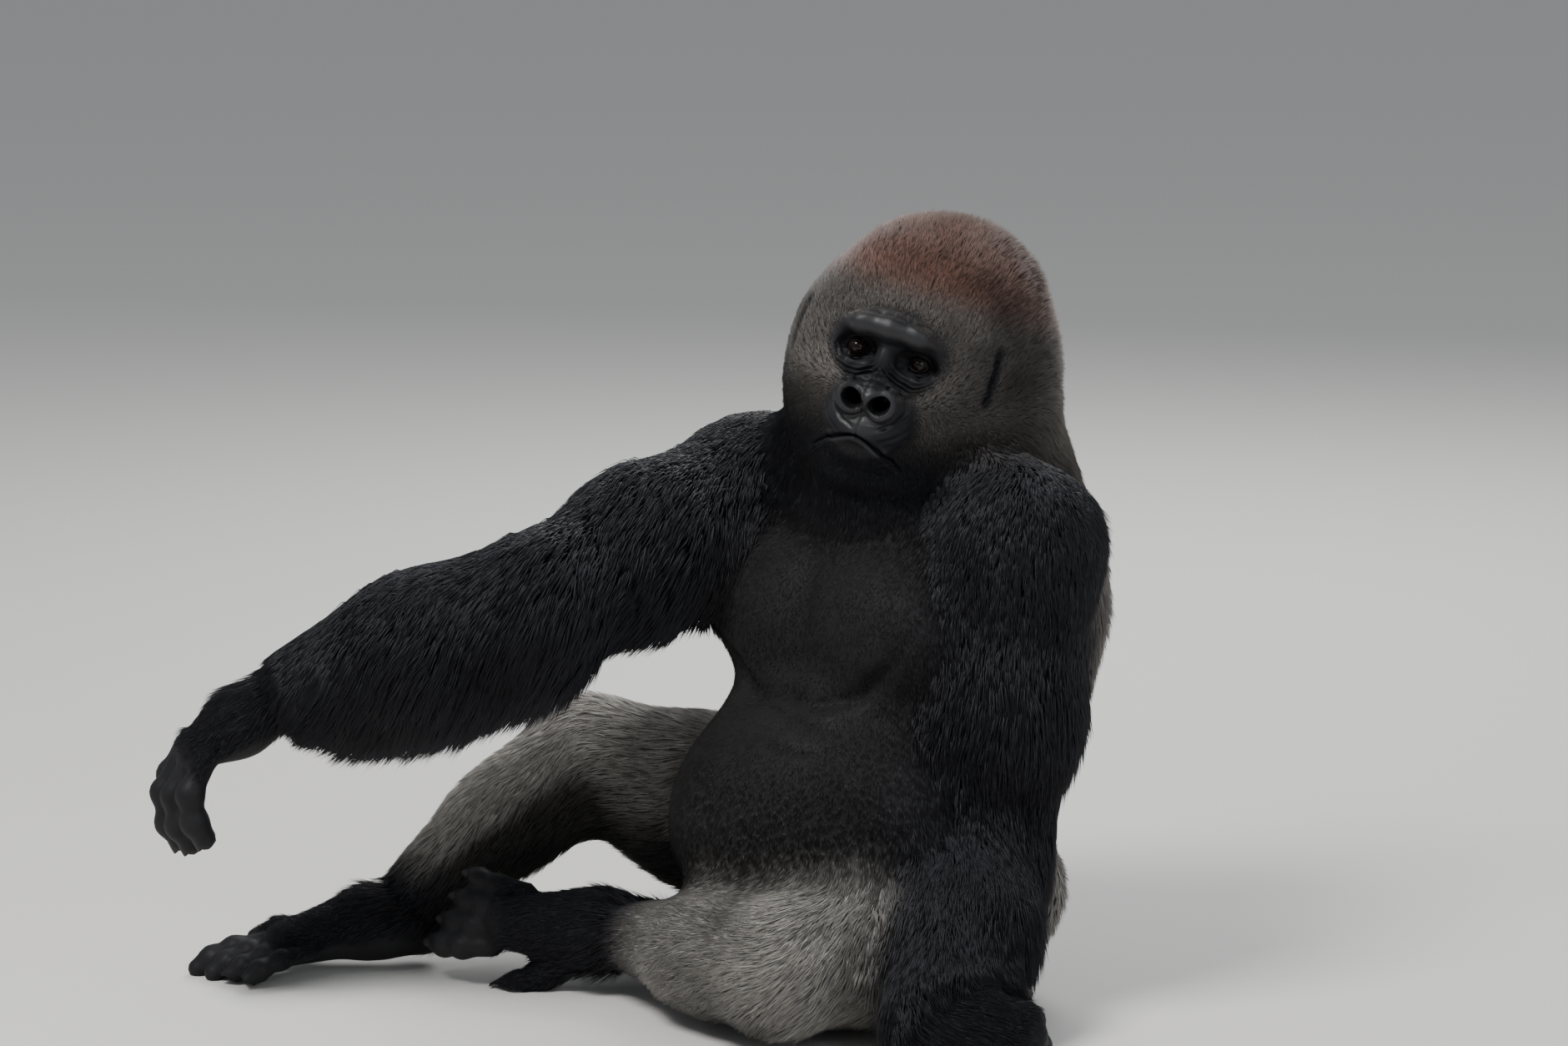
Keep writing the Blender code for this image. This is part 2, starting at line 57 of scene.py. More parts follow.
# The joints the solids are built on.
HUMERUS, FOREARM, FEMUR, SHIN = 0.40, 0.335, 0.36, 0.325
PALM = 0.125
FINGER_BONES = (0.062, 0.042, 0.030)
FINGER_RADIUS = 0.0165
SOLE = 0.155
EYE_SPACING = 0.078
HEAD_AT = Vector((0.10, -0.125, 0.815))
HEAD_TURN, HEAD_NOD, HEAD_LEAN = 32.0, 2.0, 15.0


def heading(turn: float, rise: float) -> Vector:
    """A unit vector, turned from straight ahead towards the animal's left, then raised, in degrees."""
    turn, rise = math.radians(turn), math.radians(rise)
    return Vector((math.sin(turn) * math.cos(rise), -math.cos(turn) * math.cos(rise), math.sin(rise)))


class Part(Enum):
    """The lengths of the body that the coat is laid on."""

    HEAD = "head"
    NECK = "neck"
    TRUNK = "trunk"
    UPPER_ARM_L = "upper_arm_l"
    UPPER_ARM_R = "upper_arm_r"
    FOREARM_L = "forearm_l"
    FOREARM_R = "forearm_r"
    HAND_L = "hand_l"
    HAND_R = "hand_r"
    THIGH_L = "thigh_l"
    THIGH_R = "thigh_r"
    SHANK_L = "shank_l"
    SHANK_R = "shank_r"
    FOOT_L = "foot_l"
    FOOT_R = "foot_r"


PARTS = list(Part)


def share_of(weights: np.ndarray, part: Part) -> np.ndarray:
    """How far each point belongs to one part."""
    return weights[:, PARTS.index(part)]


@dataclass(frozen=True)
class Bone:
    """A stretch of the skeleton that hair lies along, from start to end."""

    start: Vector
    end: Vector

    def along(self) -> Vector:
        """The direction hair takes down this bone."""
        return (self.end - self.start).normalized()

    def split(self, points: np.ndarray) -> tuple[np.ndarray, np.ndarray]:
        """Splits points into their way down the bone and their way off its line.

        Args:
            points: World points.

        Returns:
            How far past the bone's start each lies, and its offset across the bone.
        """
        along, offset = np.array(self.along()), points - np.array(self.start)
        past = offset @ along
        return past, offset - past[:, None] * along

    def past(self, points: np.ndarray) -> np.ndarray:
        """How far past the bone's start points lie, measured along it."""
        return self.split(points)[0]


def make_bones() -> dict[Part, Bone]:
    """Builds the skeleton that the solids stand on.

    Returns:
        One bone for each part of the body.
    """
    shoulder_l, shoulder_r = Vector((0.215, -0.01, 0.585)), Vector((-0.235, -0.02, 0.60))
    hip_l, hip_r = Vector((0.115, 0.03, 0.14)), Vector((-0.115, 0.03, 0.14))
    elbow_l = shoulder_l + HUMERUS * heading(-70, -82)
    wrist_l = elbow_l + FOREARM * heading(34, -22)
    elbow_r = shoulder_r + HUMERUS * heading(2, -14)
    wrist_r = elbow_r + FOREARM * heading(-39, -19)
    knee_l = hip_l + FEMUR * heading(2, -6)
    ankle_l = knee_l + SHIN * heading(-95, -4)
    knee_r = hip_r + FEMUR * heading(-57, 18)
    ankle_r = knee_r + SHIN * heading(-22, -32)
    return {
        Part.HEAD: Bone(HEAD_AT, HEAD_AT + Vector((0, 0.3, -0.05))),
        Part.NECK: Bone(Vector((0.04, 0.0, 0.80)), Vector((0, 0.08, 0.55))),
        Part.TRUNK: Bone(Vector((0, 0.03, 0.62)), Vector((0, -0.02, 0.05))),
        Part.UPPER_ARM_L: Bone(shoulder_l, elbow_l),
        Part.UPPER_ARM_R: Bone(shoulder_r, elbow_r),
        Part.FOREARM_L: Bone(elbow_l, wrist_l),
        Part.FOREARM_R: Bone(elbow_r, wrist_r),
        Part.HAND_L: Bone(wrist_l, wrist_l + PALM * HAND_AIMS["l"]),
        Part.HAND_R: Bone(wrist_r, wrist_r + PALM * HAND_AIMS["r"]),
        Part.THIGH_L: Bone(hip_l, knee_l),
        Part.THIGH_R: Bone(hip_r, knee_r),
        Part.SHANK_L: Bone(knee_l, ankle_l),
        Part.SHANK_R: Bone(knee_r, ankle_r),
        Part.FOOT_L: Bone(ankle_l, ankle_l + SOLE * FOOT_AIMS["l"]),
        Part.FOOT_R: Bone(ankle_r, ankle_r + SOLE * FOOT_AIMS["r"]),
    }


HAND_AIMS = {"l": Vector((0.70, 0.70, -0.20)).normalized(), "r": heading(-32, -30)}
HAND_BACKS = {"l": Vector((0.6, -0.75, 0.5)), "r": Vector((0, -0.3, 1))}
FOOT_AIMS = {"l": heading(-44, 2), "r": heading(-26, -3)}
FOOT_BACKS = {"l": heading(46, 4), "r": Vector((0, 0, 1))}
BONES = make_bones()


def head_matrix() -> Matrix:
    """Builds the head's own frame: between the eyes, the face towards -Y, its left +X.

    Returns:
        Where that frame stands.
    """
    turn = Matrix.Rotation(math.radians(HEAD_TURN), 4, "Z")
    nod = Matrix.Rotation(math.radians(HEAD_NOD), 4, "X")
    lean = Matrix.Rotation(math.radians(HEAD_LEAN), 4, "Y")
    return Matrix.Translation(HEAD_AT) @ turn @ lean @ nod


HEAD = head_matrix()


def carried(points: np.ndarray, matrix: Matrix) -> np.ndarray:
    """Carries points out of a frame that stands at the matrix."""
    rows = np.array(matrix)
    return points @ rows[:3, :3].T + rows[:3, 3]


def in_head(points: np.ndarray) -> np.ndarray:
    """Carries points from the world into the head's own frame."""
    return carried(points, HEAD.inverted())


def ramp(values: np.ndarray, low: float, high: float) -> np.ndarray:
    """A smooth step from 0 at low to 1 at high; low may be above high."""
    share = np.clip((values - low) / (high - low), 0.0, 1.0)
    return share * share * (3.0 - 2.0 * share)


def mix(first: np.ndarray, second: np.ndarray, share: np.ndarray) -> np.ndarray:
    """Rows between the first and the second, by each row's share of the second."""
    return first + share[:, None] * (second - first)


def waves(points: np.ndarray, scale: float, seed: int) -> np.ndarray:
    """A soft, repeatable variation over space, about -1 to 1.

    Args:
        points: Where it is wanted.
        scale: The length of its patches in metres.
        seed: Which variation.

    Returns:
        One value for each point.
    """
    rng = np.random.default_rng(seed)
    total = np.zeros(len(points))
    for octave in range(5):
        way = rng.normal(size=3)
        way *= (1.0 + 0.45 * octave) / (np.linalg.norm(way) * scale) * 2.0
        total += np.sin(points @ way + rng.uniform(0, 6.28)) / (1.0 + 0.3 * octave)
    return total / 2.2


# --- Forms of the head and hands, blended as flesh is --------------------------------------------
class Lobe:
    """An ellipsoid of flesh, or a hollow of that shape where carve is set."""

    def __init__(self, centre: tuple, radii: tuple, turn: tuple = (0, 0, 0), blend: float = 0.03,
                 carve: bool = False) -> None:
        """Sizes the lobe.

        Args:
            centre: Its middle.
            radii: Its half sizes.
            turn: Its turn about X, Y and Z, in degrees.
            blend: How wide it blends with the forms before it.
            carve: Whether it is a hollow.
        """
        self.centre = Vector(centre)
        self.radii = radii
        self.axes = Euler([math.radians(a) for a in turn]).to_matrix()
        self.blend, self.carve = blend, carve

    def twin(self) -> Lobe:
        """The same lobe on the other side of the face.

        Returns:
            The mirrored lobe.
        """
        other = Lobe((-self.centre.x, self.centre.y, self.centre.z), self.radii, blend=self.blend,
                     carve=self.carve)
        other.axes = MIRROR @ self.axes @ MIRROR
        return other

    def distance(self, points: np.ndarray) -> np.ndarray:
        """Measures how far points are outside the ellipsoid, about.

        Args:
            points: Points in the forms' own frame.

        Returns:
            Distances, negative inside.
        """
        local = (points - np.array(self.centre)) @ np.array(self.axes)
        radii = np.array(self.radii)
        share = np.linalg.norm(local / radii, axis=1)
        slope = np.linalg.norm(local / radii**2, axis=1) + 1e-9
        return share * (share - 1.0) / slope


class Tube:
    """A tapering length between two points, widened along one direction, or a groove to carve."""

    def __init__(self, start: tuple, end: tuple, radius: float, end_radius: float, blend: float = 0.01,
                 carve: bool = False, wide: tuple | None = None, ratio: float = 1.0) -> None:
        """Sizes the length.

        Args:
            start: Its first end.
            end: Its other end.
            radius: Its radius at the start.
            end_radius: Its radius at the end.
            blend: How wide it blends with the forms before it.
            carve: Whether it is a groove.
            wide: The way it is widened.
            ratio: How much wider it is.
        """
        self.start, self.end = Vector(start), Vector(end)
        self.radius, self.end_radius = radius, end_radius
        self.blend, self.carve = blend, carve
        self.wide, self.ratio = wide, ratio

    def twin(self) -> Tube:
        """The same length on the other side of the face."""
        return Tube(MIRROR @ self.start, MIRROR @ self.end, self.radius, self.end_radius, self.blend,
                    self.carve)

    def distance(self, points: np.ndarray) -> np.ndarray:
        """Measures how far points are outside the length.

        Args:
            points: Points in the forms' own frame.

        Returns:
            Distances, negative inside.
        """
        start, axis = np.array(self.start), np.array(self.end - self.start)
        offset = points - start
        along = np.clip(offset @ axis / (axis @ axis), 0.0, 1.0)
        offset = offset - along[:, None] * axis
        if self.wide is not None:
            wide = np.array(self.wide)
            offset = offset + np.outer(offset @ wide, wide) * (1.0 / self.ratio - 1.0)
        return np.linalg.norm(offset, axis=1) - (self.radius + (self.end_radius - self.radius) * along)


def blended(forms: list, points: np.ndarray) -> np.ndarray:
    """Measures how far points are outside the blended forms, about.

    Args:
        forms: The forms, in the order they are blended.
        points: Points in the forms' own frame.

    Returns:
        Distances, negative inside.
    """
    total = forms[0].distance(points)
    for form in forms[1:]:
        reach = form.distance(points)
        if form.carve:
            blend = np.maximum(form.blend - np.abs(total + reach), 0.0)
            total = np.maximum(total, -reach) + blend**2 / form.blend / 4
        else:
            blend = np.maximum(form.blend - np.abs(total - reach), 0.0)
            total = np.minimum(total, reach) - blend**2 / form.blend / 4
    return total


def both_sides(forms: list) -> list:
    """Each form of the left side of the face, followed by its twin."""
    return [each for form in forms for each in (form, form.twin())]


@dataclass(frozen=True)
class Crease:
    """A fold of the face: an arc seen from the front, in the head's own frame."""

    across: float
    height: float
    radius_across: float
    radius_height: float
    first: float
    last: float
    depth: float
    width: float

    def press(self, points: np.ndarray, side: int) -> np.ndarray:
        """Works out how far the skin sinks, with a low rim beside the fold.

        Args:
            points: Points in the head's own frame.
            side: 1 for the face's left, -1 for its right.

        Returns:
            A depth for each point.
        """
        x = (points[:, 0] * side - self.across) / self.radius_across
        z = (points[:, 2] - self.height) / self.radius_height
        off = (np.hypot(x, z) - 1.0) * min(self.radius_across, self.radius_height)
        angle = np.degrees(np.arctan2(z, x)) % 360.0
        fade = ramp(angle, self.first, self.first + 14.0) * ramp(angle, self.last, self.last - 14.0)
        near = np.exp(-((off / self.width) ** 2))
        rim = 0.45 * np.exp(-(((np.abs(off) - 2.0 * self.width) / self.width) ** 2))
        return self.depth * (near - rim) * fade


@dataclass
class Face:
    """The head's flesh without its hair, and the folds of the bare face."""

    eye_radius: float = 0.0135
    eye_depth: float = 0.019
    lid: float = 0.0016
    opening: tuple = (0.0122, 0.0105, 0.0054)
    spacing: float = EYE_SPACING
    mouth_shift: float = 0.004
    mouth_height: float = -0.0935
    mouth_half: float = 0.055
    mouth_drop: float = 0.0345
    lip_depth: float = 0.0055
    lip_swell: float = 0.0016
    nostril_rim: float = 0.0026
    slit_top: tuple = (0.123, 0.056, 0.027)
    slit_foot: tuple = (0.125, 0.035, -0.026)
    slit_depth: float = 0.0090
    slit_width: float = 0.0055

    def forms(self) -> list:
        """The blended forms of the skull and the face, in the head's own frame.

        Returns:
            The forms, in the order they are blended.
        """
        eye = self.spacing / 2
        shapes = [
            Lobe((0.008, 0.132, 0.022), (0.119, 0.128, 0.110), blend=0.05),  # braincase
            Lobe((0.012, 0.145, 0.064), (0.054, 0.090, 0.058), (-12, 0, 0), 0.070),  # crest
            Lobe((0.036, 0.195, 0.034), (0.118, 0.098, 0.112), blend=0.06),  # back of the head
        ]
        inside, nape = HEAD.inverted(), Vector((0, 0.150, -0.010))
        shapes += [
            Tube(inside @ Vector((0, 0.100, 0.600)), nape, 0.145, 0.120, 0.07),  # nape
            Tube(inside @ Vector((0, -0.010, 0.560)), (0, 0.100, -0.100), 0.120, 0.085, 0.06),  # throat
            Tube(inside @ (BONES[Part.UPPER_ARM_L].start + Vector((-0.03, 0.03, 0))), nape, 0.075, 0.080,
                 0.07),
            Tube(inside @ (BONES[Part.UPPER_ARM_R].start + Vector((0.03, 0.03, 0))), nape, 0.075, 0.080,
                 0.07),
            Tube(inside @ Vector((0.040, 0.120, 0.640)), inside @ Vector((0.085, 0.085, 0.770)), 0.095, 0.072,
                 0.06),
        ]
        shapes += both_sides([
            Lobe((0.080, 0.088, -0.040), (0.058, 0.085, 0.100), blend=0.05),  # cheek
            Lobe((0.044, 0.078, -0.118), (0.048, 0.064, 0.066), blend=0.05),  # jaw
            Lobe((0.052, 0.030, -0.034), (0.026, 0.026, 0.030), blend=0.03),  # cheekbone
        ])
        shapes += [
            Lobe((0, 0.036, -0.086), (0.058, 0.080, 0.060), blend=0.04),  # muzzle
            Lobe((0, -0.008, -0.082), (0.050, 0.042, 0.024), blend=0.016),  # upper lip
            Lobe((0, 0.000, -0.117), (0.046, 0.043, 0.026), blend=0.012),  # lower lip
            Lobe((0, 0.045, -0.148), (0.055, 0.060, 0.036), blend=0.03),  # chin
            Lobe((0, 0.003, -0.016), (0.013, 0.021, 0.034), (20, 0, 0), 0.018),  # bridge of the nose
        ]
        shapes += both_sides([
            Tube((0, -0.012, 0.038), (0.036, -0.007, 0.037), 0.0150, 0.0160, 0.012),  # inner brow
            Tube((0.036, -0.007, 0.037), (0.070, 0.024, 0.025), 0.0160, 0.0120, 0.012),  # outer brow
            Lobe((0.0245, -0.038, -0.050), (0.0220, 0.0225, 0.0245), (0, 16, 0), 0.007),  # wing of the nose
        ])
        shapes += [Lobe((0, -0.040, -0.041), (0.016, 0.020, 0.018), (20, 0, 0), 0.010)]  # tip of the nose
        shapes += [Lobe((side * 0.121 + 0.006, 0.084, 0.002), (0.012, 0.018, 0.026), (8, side * 8, side * 24),
                        0.014) for side in (1, -1)]
        shapes += both_sides([
            Lobe((eye, 0.004, -0.001), (0.025, 0.018, 0.0150), (0, 6, -10), 0.012, True),  # socket
            Lobe((eye, self.eye_depth + 0.001, -0.001), (self.eye_radius + self.lid,) * 3,
                 blend=0.004),  # lids
        ])
        return shapes

    def lids(self) -> list:
        """The openings between the eyelids."""
        place = (self.spacing / 2 - 0.0005, self.eye_depth - self.eye_radius, -0.0020)
        return both_sides([Lobe(place, self.opening, (0, 6, -8), carve=True)])

    def nostrils(self) -> list:
        """The two deep openings of the nose, leaning in towards their lower ends.

        Returns:
            Two hollows for each side.
        """
        return both_sides([
            Lobe((0.0170, -0.060, -0.0480), (0.0116, 0.0200, 0.0150), (0, 50, 0), carve=True),
            Lobe((0.0170, -0.044, -0.0465), (0.0096, 0.0250, 0.0118), (0, 50, 0), carve=True),
        ])

    def lip_line(self, local: np.ndarray) -> np.ndarray:
        """How far points are from the line between the lips, which falls to both corners.

        Args:
            local: Points in the head's own frame.

        Returns:
            A distance for each point.
        """
        x, half = local[:, 0] + self.mouth_shift, self.mouth_half
        slope = self.mouth_drop * 1.6 * np.clip(np.abs(x) / half, 0.0, 1.2)**0.6 / half
        beyond = np.maximum(np.abs(x) - 0.056, 0.0) + 10.0 * np.maximum(local[:, 1] - 0.03, 0.0)
        return np.hypot(self.under_lip(local) / np.sqrt(1.0 + slope**2), beyond)

    def under_lip(self, local: np.ndarray) -> np.ndarray:
        """How far below the line between the lips points are, straight down."""
        share = np.clip(np.abs(local[:, 0] + self.mouth_shift) / self.mouth_half, 0.0, 1.2)
        return self.mouth_height - self.mouth_drop * share**1.6 - local[:, 2]

    def pressed(self, local: np.ndarray) -> np.ndarray:
        """How far the skin sinks at each point: along its folds and between the lips.

        Args:
            local: Points in the head's own frame.

        Returns:
            A depth for each point.
        """
        sink = np.zeros(len(local))
        bent = local + 0.0014 * np.stack([waves(local, 0.020, 31), waves(local, 0.030, 32),
                                          waves(local, 0.014, 33)], -1)
        for crease, sides in self.creases():
            for side in sides:
                sink += crease.press(bent, side)
        sink *= (1.0 + 0.35 * waves(local, 0.012, 34)) * self.bare(local) * ramp(local[:, 1], 0.07, 0.04)
        lips = self.lip_line(local)
        swell = self.lip_swell * np.exp(-(((lips - 0.0055) / 0.0036) ** 2))
        sink += self.lip_depth * np.exp(-((lips / 0.0019) ** 2)) - swell
        rims = np.min([form.distance(local) for form in self.nostrils()], axis=0)
        sink -= self.nostril_rim * np.exp(-(((rims - 0.0045) / 0.0042) ** 2))
        return sink + self.slit_depth * np.exp(-((self.slit(local) / self.slit_width) ** 2))

    def opened(self, local: np.ndarray) -> np.ndarray:
        """Moves points that lie in an opening straight back to its far wall.

        Args:
            local: Points in the head's own frame.

        Returns:
            The moved points.
        """
        local, openings = local.copy(), self.lids() + self.nostrils()
        for _ in range(16):
            inside = np.max([-form.distance(local) for form in openings], axis=0)
            local[:, 1] += np.maximum(inside, 0.0)
        return local

    def creases(self) -> list[tuple[Crease, tuple[int, ...]]]:
        """Lists every fold of the bare face.

        Returns:
            Each fold, with the sides it lies on.
        """
        eye, folds, both, middle = self.spacing / 2, [], (1, -1), (1,)
        for step in range(5):  # bags under the eyes
            reach = 0.0140 + 0.0050 * step
            folds.append((Crease(eye - 0.001, 0.003, reach + 0.005, reach, 192, 352, 0.0026, 0.0013), both))
        folds.append((Crease(eye, -0.003, 0.0165, 0.0110, 14, 168, 0.0014, 0.0011), both))  # upper lids
        for step in range(3):  # forehead
            height = 0.056 + 0.010 * step - 0.030
            folds.append((Crease(0.0, height, 0.062, 0.030, 40, 140, 0.0015, 0.0022), middle))
        folds.append((Crease(0.000, -0.045, 0.047, 0.038, 275, 350, 0.0018, 0.0018), both))  # muzzle
        folds.append((Crease(0.004, -0.050, 0.058, 0.048, 285, 350, 0.0013, 0.0018), both))
        for step in range(3):  # bridge of the nose
            height = -0.020 - 0.007 * step
            folds.append((Crease(0.0, height, 0.012, 0.006, 30, 150, 0.0010, 0.0012), middle))
        folds.append((Crease(0.0, -0.052, 0.0025, 0.030, 92, 268, 0.0016, 0.0014), middle))  # nose groove
        return folds

    def bare(self, local: np.ndarray) -> np.ndarray:
        """Works out how bare the face is.

        Args:
            local: Points in the head's own frame.

        Returns:
            1 over the middle of the face, 0 where the coat begins.
        """
        x, y, z = np.abs(local[:, 0]), local[:, 1], local[:, 2]
        upper = np.hypot(x / 0.073, (z - 0.006) / 0.048)
        lower = np.hypot(x / 0.058, (z + 0.074) / 0.050)
        reach = np.minimum(upper, lower)
        chin = 0.70 * ramp(self.under_lip(local), 0.0060, 0.0170)
        return ramp(reach, 1.16, 0.88) * ramp(y, 0.075, 0.045) * (1.0 - chin)

    def dark(self, local: np.ndarray) -> np.ndarray:
        """How much painted shade darkens the skin: deep in a nostril, between the lips and in an eye's
        socket.

        Args:
            local: Points in the head's own frame.

        Returns:
            0 on open skin, up to 1 deep inside.
        """
        # Painted shade: darkest deep in the nostrils, in the eyes' sockets and along the line between the
        # lips.
        inner = np.min([form.distance(local) for form in self.nostrils()], axis=0)
        sockets = np.hypot((np.abs(local[:, 0]) - self.spacing / 2) / 0.026, (local[:, 2] - 0.006) / 0.015)
        shadow = 0.45 * ramp(sockets, 1.15, 0.65) * ramp(local[:, 1], -0.012, -0.004)
        return np.maximum(np.maximum(ramp(inner, 0.0008, -0.0006), shadow),
                          0.85 * ramp(self.lip_line(local), 0.0024, 0.0008))

    def slit(self, local: np.ndarray) -> np.ndarray:
        """How far points are from the slit before each ear, a groove painted dark as shade."""
        mirrored = np.column_stack([np.abs(local[:, 0]), local[:, 1:]])
        return Tube(self.slit_top, self.slit_foot, 0.0, 0.0).distance(mirrored)


@dataclass(frozen=True)
class Digit:
    """A finger or toe as drawn along -Y, before its hand or foot is laid in place."""

    base: tuple
    aim: float
    bones: tuple
    curls: tuple
    radius: float
    fan: float

    def steps(self) -> list[tuple[Vector, Vector, Vector]]:
        """Walks down the bones, each bent on from the one before.

        Returns:
            The start, the end and the direction of each bone.
        """
        point, bend, steps = Vector(self.base), self.aim, []
        fan = math.radians(self.fan)
        straight = Vector((math.sin(fan), -math.cos(fan), 0))
        for bone, curl in zip(self.bones, self.curls):
            bend += curl
            way = straight * math.cos(math.radians(bend)) - UP * math.sin(math.radians(bend))
            steps.append((point, point + bone * way, way))
            point = point + bone * way
        return steps

    def limbs(self) -> list[Lobe | Tube]:
        """The bones' flesh, with a swelling at each joint.

        Returns:
            A tube for each bone and a lobe for each joint.
        """
        limbs = []
        for number, (start, end, _) in enumerate(self.steps()):
            limbs.append(Tube(start, end, self.radius * 0.94, self.radius * 0.88, 0.007))
            if number:
                limbs.append(Lobe(start, (self.radius * 1.02,) * 3, blend=0.010))
        return limbs

    def tip(self) -> tuple[Vector, Vector, Vector]:
        """Finds the end of the last bone.

        Returns:
            That end, the way the bone points and the way its back faces.
        """
        _, point, way = self.steps()[-1]
        side = way.cross(UP).normalized()
        return point, way, side.cross(way).normalized()


def hand_digits(curls: tuple, thumb: tuple, droop: float) -> list[Digit]:
    """The four fingers and the thumb of one hand.

    Args:
        curls: How far each finger bone bends on, in degrees.
        thumb: The same for the thumb.
        droop: How far the fingers bend from the palm.

    Returns:
        The digits as drawn, the thumb last.
    """
    digits = []
    for index in range(4):
        length = 1.0 - 0.09 * abs(index - 1.3)
        digits.append(Digit((0.040 - 0.0265 * index, -PALM + 0.012 * abs(index - 1.2), 0.0), droop,
                            tuple(length * bone for bone in FINGER_BONES), curls, FINGER_RADIUS,
                            5 - 5 * index))
    return digits + [Digit((0.056, -0.060, -0.016), 10, (0.030, 0.026), thumb, 0.0145, 16)]


def foot_digits(curls: tuple) -> list[Digit]:
    """The four toes and the great toe of one foot.

    Args:
        curls: How far each toe bone bends on, in degrees.

    Returns:
        The digits as drawn, the great toe last.
    """
    digits = [Digit((0.028 - 0.024 * index, -SOLE + 0.014 * index, -0.034), 2, (0.040, 0.030, 0.022),
                    curls, 0.0155 - 0.001 * index, 4 - 4 * index) for index in range(4)]
    return digits + [Digit((0.064, -0.092, -0.034), 0, (0.036, 0.030), (4, 16), 0.021, 26)]


@dataclass
class Extremity:
    """A hand or foot, drawn along -Y and laid at the end of its limb."""

    part: Part
    digits: list[Digit]

    def place(self) -> Matrix:
        """Works out where the drawn shape is laid.

        Returns:
            The matrix into the world.
        """
        hand, left = self.part.value.startswith("hand"), self.part.value.endswith("_l")
        back = (HAND_BACKS if hand else FOOT_BACKS)[self.part.value[-1]]
        forward = BONES[self.part].along()
        back = (back - back.dot(forward) * forward).normalized()
        side = back.cross(forward) if left else forward.cross(back)
        rotation = Matrix((side, -forward, back)).transposed().to_4x4()
        return Matrix.Translation(BONES[self.part].start) @ rotation

    def forms(self) -> list:
        """The blended flesh of palm or sole and digits.

        Returns:
            The forms, in the order they are blended.
        """
        wide = (1, 0, 0)
        if self.part.value.startswith("hand"):
            shapes = [
                Tube((0, 0.03, 0), (0, -0.05, 0), 0.040, 0.040, 0.03, wide=wide, ratio=1.25),
                Tube((0, -0.05, 0), (0, -PALM + 0.01, -0.002), 0.031, 0.023, 0.03, wide=wide, ratio=2.0),
                Tube((0.030, -0.010, -0.012), (0.056, -0.060, -0.016), 0.021, 0.016, 0.02),
            ]
        else:
            shapes = [
                Tube((0, 0.045, -0.030), (0, -0.02, -0.018), 0.040, 0.044, 0.03),
                Tube((0, -0.02, -0.015), (-0.004, -SOLE + 0.02, -0.030), 0.044, 0.030, 0.03, wide=wide,
                     ratio=1.25),
                Tube((0.020, -0.035, -0.032), (0.064, -0.092, -0.034), 0.028, 0.022, 0.02),
            ]
        for digit in self.digits:
            shapes += digit.limbs()
        return shapes


EXTREMITIES = {
    Part.HAND_L: Extremity(Part.HAND_L, hand_digits((75, 75, 40), (15, 25), 5)),
    Part.HAND_R: Extremity(Part.HAND_R, hand_digits((26, 34, 22), (10, 20), 8)),
    Part.FOOT_L: Extremity(Part.FOOT_L, foot_digits((14, 22, 18))),
    Part.FOOT_R: Extremity(Part.FOOT_R, foot_digits((4, 12, 12))),
}


@dataclass(frozen=True)
class Fold:
    """A fold on the front of the trunk: its way across and up, its depth and width, how its ends fade."""

    path: tuple
    depth: float
    width: float
    fade: float

    def distance(self, points: np.ndarray) -> np.ndarray:
        """How far points are from the fold, seen from the front.

        Args:
            points: World points.

        Returns:
            A distance for each point.
        """
        flat, least = points[:, (0, 2)], np.full(len(points), 9.0)
        for first, last in zip(self.path, self.path[1:]):
            start, axis = np.array(first), np.array(last) - np.array(first)
            share = np.clip((flat - start) @ axis / (axis @ axis), 0.0, 1.0)
            least = np.minimum(least, np.linalg.norm(flat - start - share[:, None] * axis, axis=1))
        return least

    def press(self, points: np.ndarray) -> np.ndarray:
        """How far the skin sinks at each point, with a low rim to each side, less at the free ends.

        Args:
            points: World points.

        Returns:
            A depth for each point.
        """
        off = self.distance(points) / self.width
        depth = np.full(len(points), self.depth)
        for end in (self.path[0], self.path[-1]):
            depth *= ramp(np.linalg.norm(points[:, (0, 2)] - np.array(end), axis=1), 0.0, self.fade)
        return depth * (np.exp(-off**2) - 0.14 * np.exp(-((off - 2.1) ** 2)))


FOLDS = (
    Fold(((-0.172, 0.500), (-0.150, 0.448), (-0.100, 0.404), (-0.045, 0.391), (0.0, 0.400), (0.045, 0.391),
          (0.100, 0.404), (0.150, 0.448), (0.172, 0.500)), 0.0080, 0.0090, 0.100),  # under the chest
    Fold(((-0.045, 0.388), (0.045, 0.377), (0.108, 0.360)), 0.0034, 0.0052, 0.050),  # creases of the belly
    Fold(((-0.010, 0.357), (0.050, 0.345), (0.115, 0.340)), 0.0030, 0.0050, 0.050),
    Fold(((0.0, 0.580), (0.0, 0.420)), 0.0050, 0.0160, 0.060),  # breastbone
)


# --- The skin ------------------------------------------------------------------------------------
@dataclass(frozen=True)
class Detail:
    """A block of the face with finer skin: its reach to each side, its heights and its back."""

    half: float
    low: float
    high: float
    back: float
    divisions: int

    def holds(self, local: np.ndarray) -> np.ndarray:
        """Which points, in the head's frame, lie in the block."""
        x, y, z = np.abs(local[:, 0]), local[:, 1], local[:, 2]
        return (x < self.half) & (y < self.back) & (z < self.high) & (z > self.low)


DETAILS = (
    Detail(0.095, -0.165, 0.085, 0.080, 1),
    Detail(0.072, -0.140, 0.070, 0.045, 2),
    Detail(0.052, -0.080, -0.022, -0.002, 3),
    Detail(0.058, -0.134, -0.086, 0.015, 3),
)


@dataclass(frozen=True)
class Pelt:
    """How the coat grows on one part: lengths in metres, its lift off the skin in degrees."""

    length: float
    sink: float
    width: float
    lift: float
    droop: float


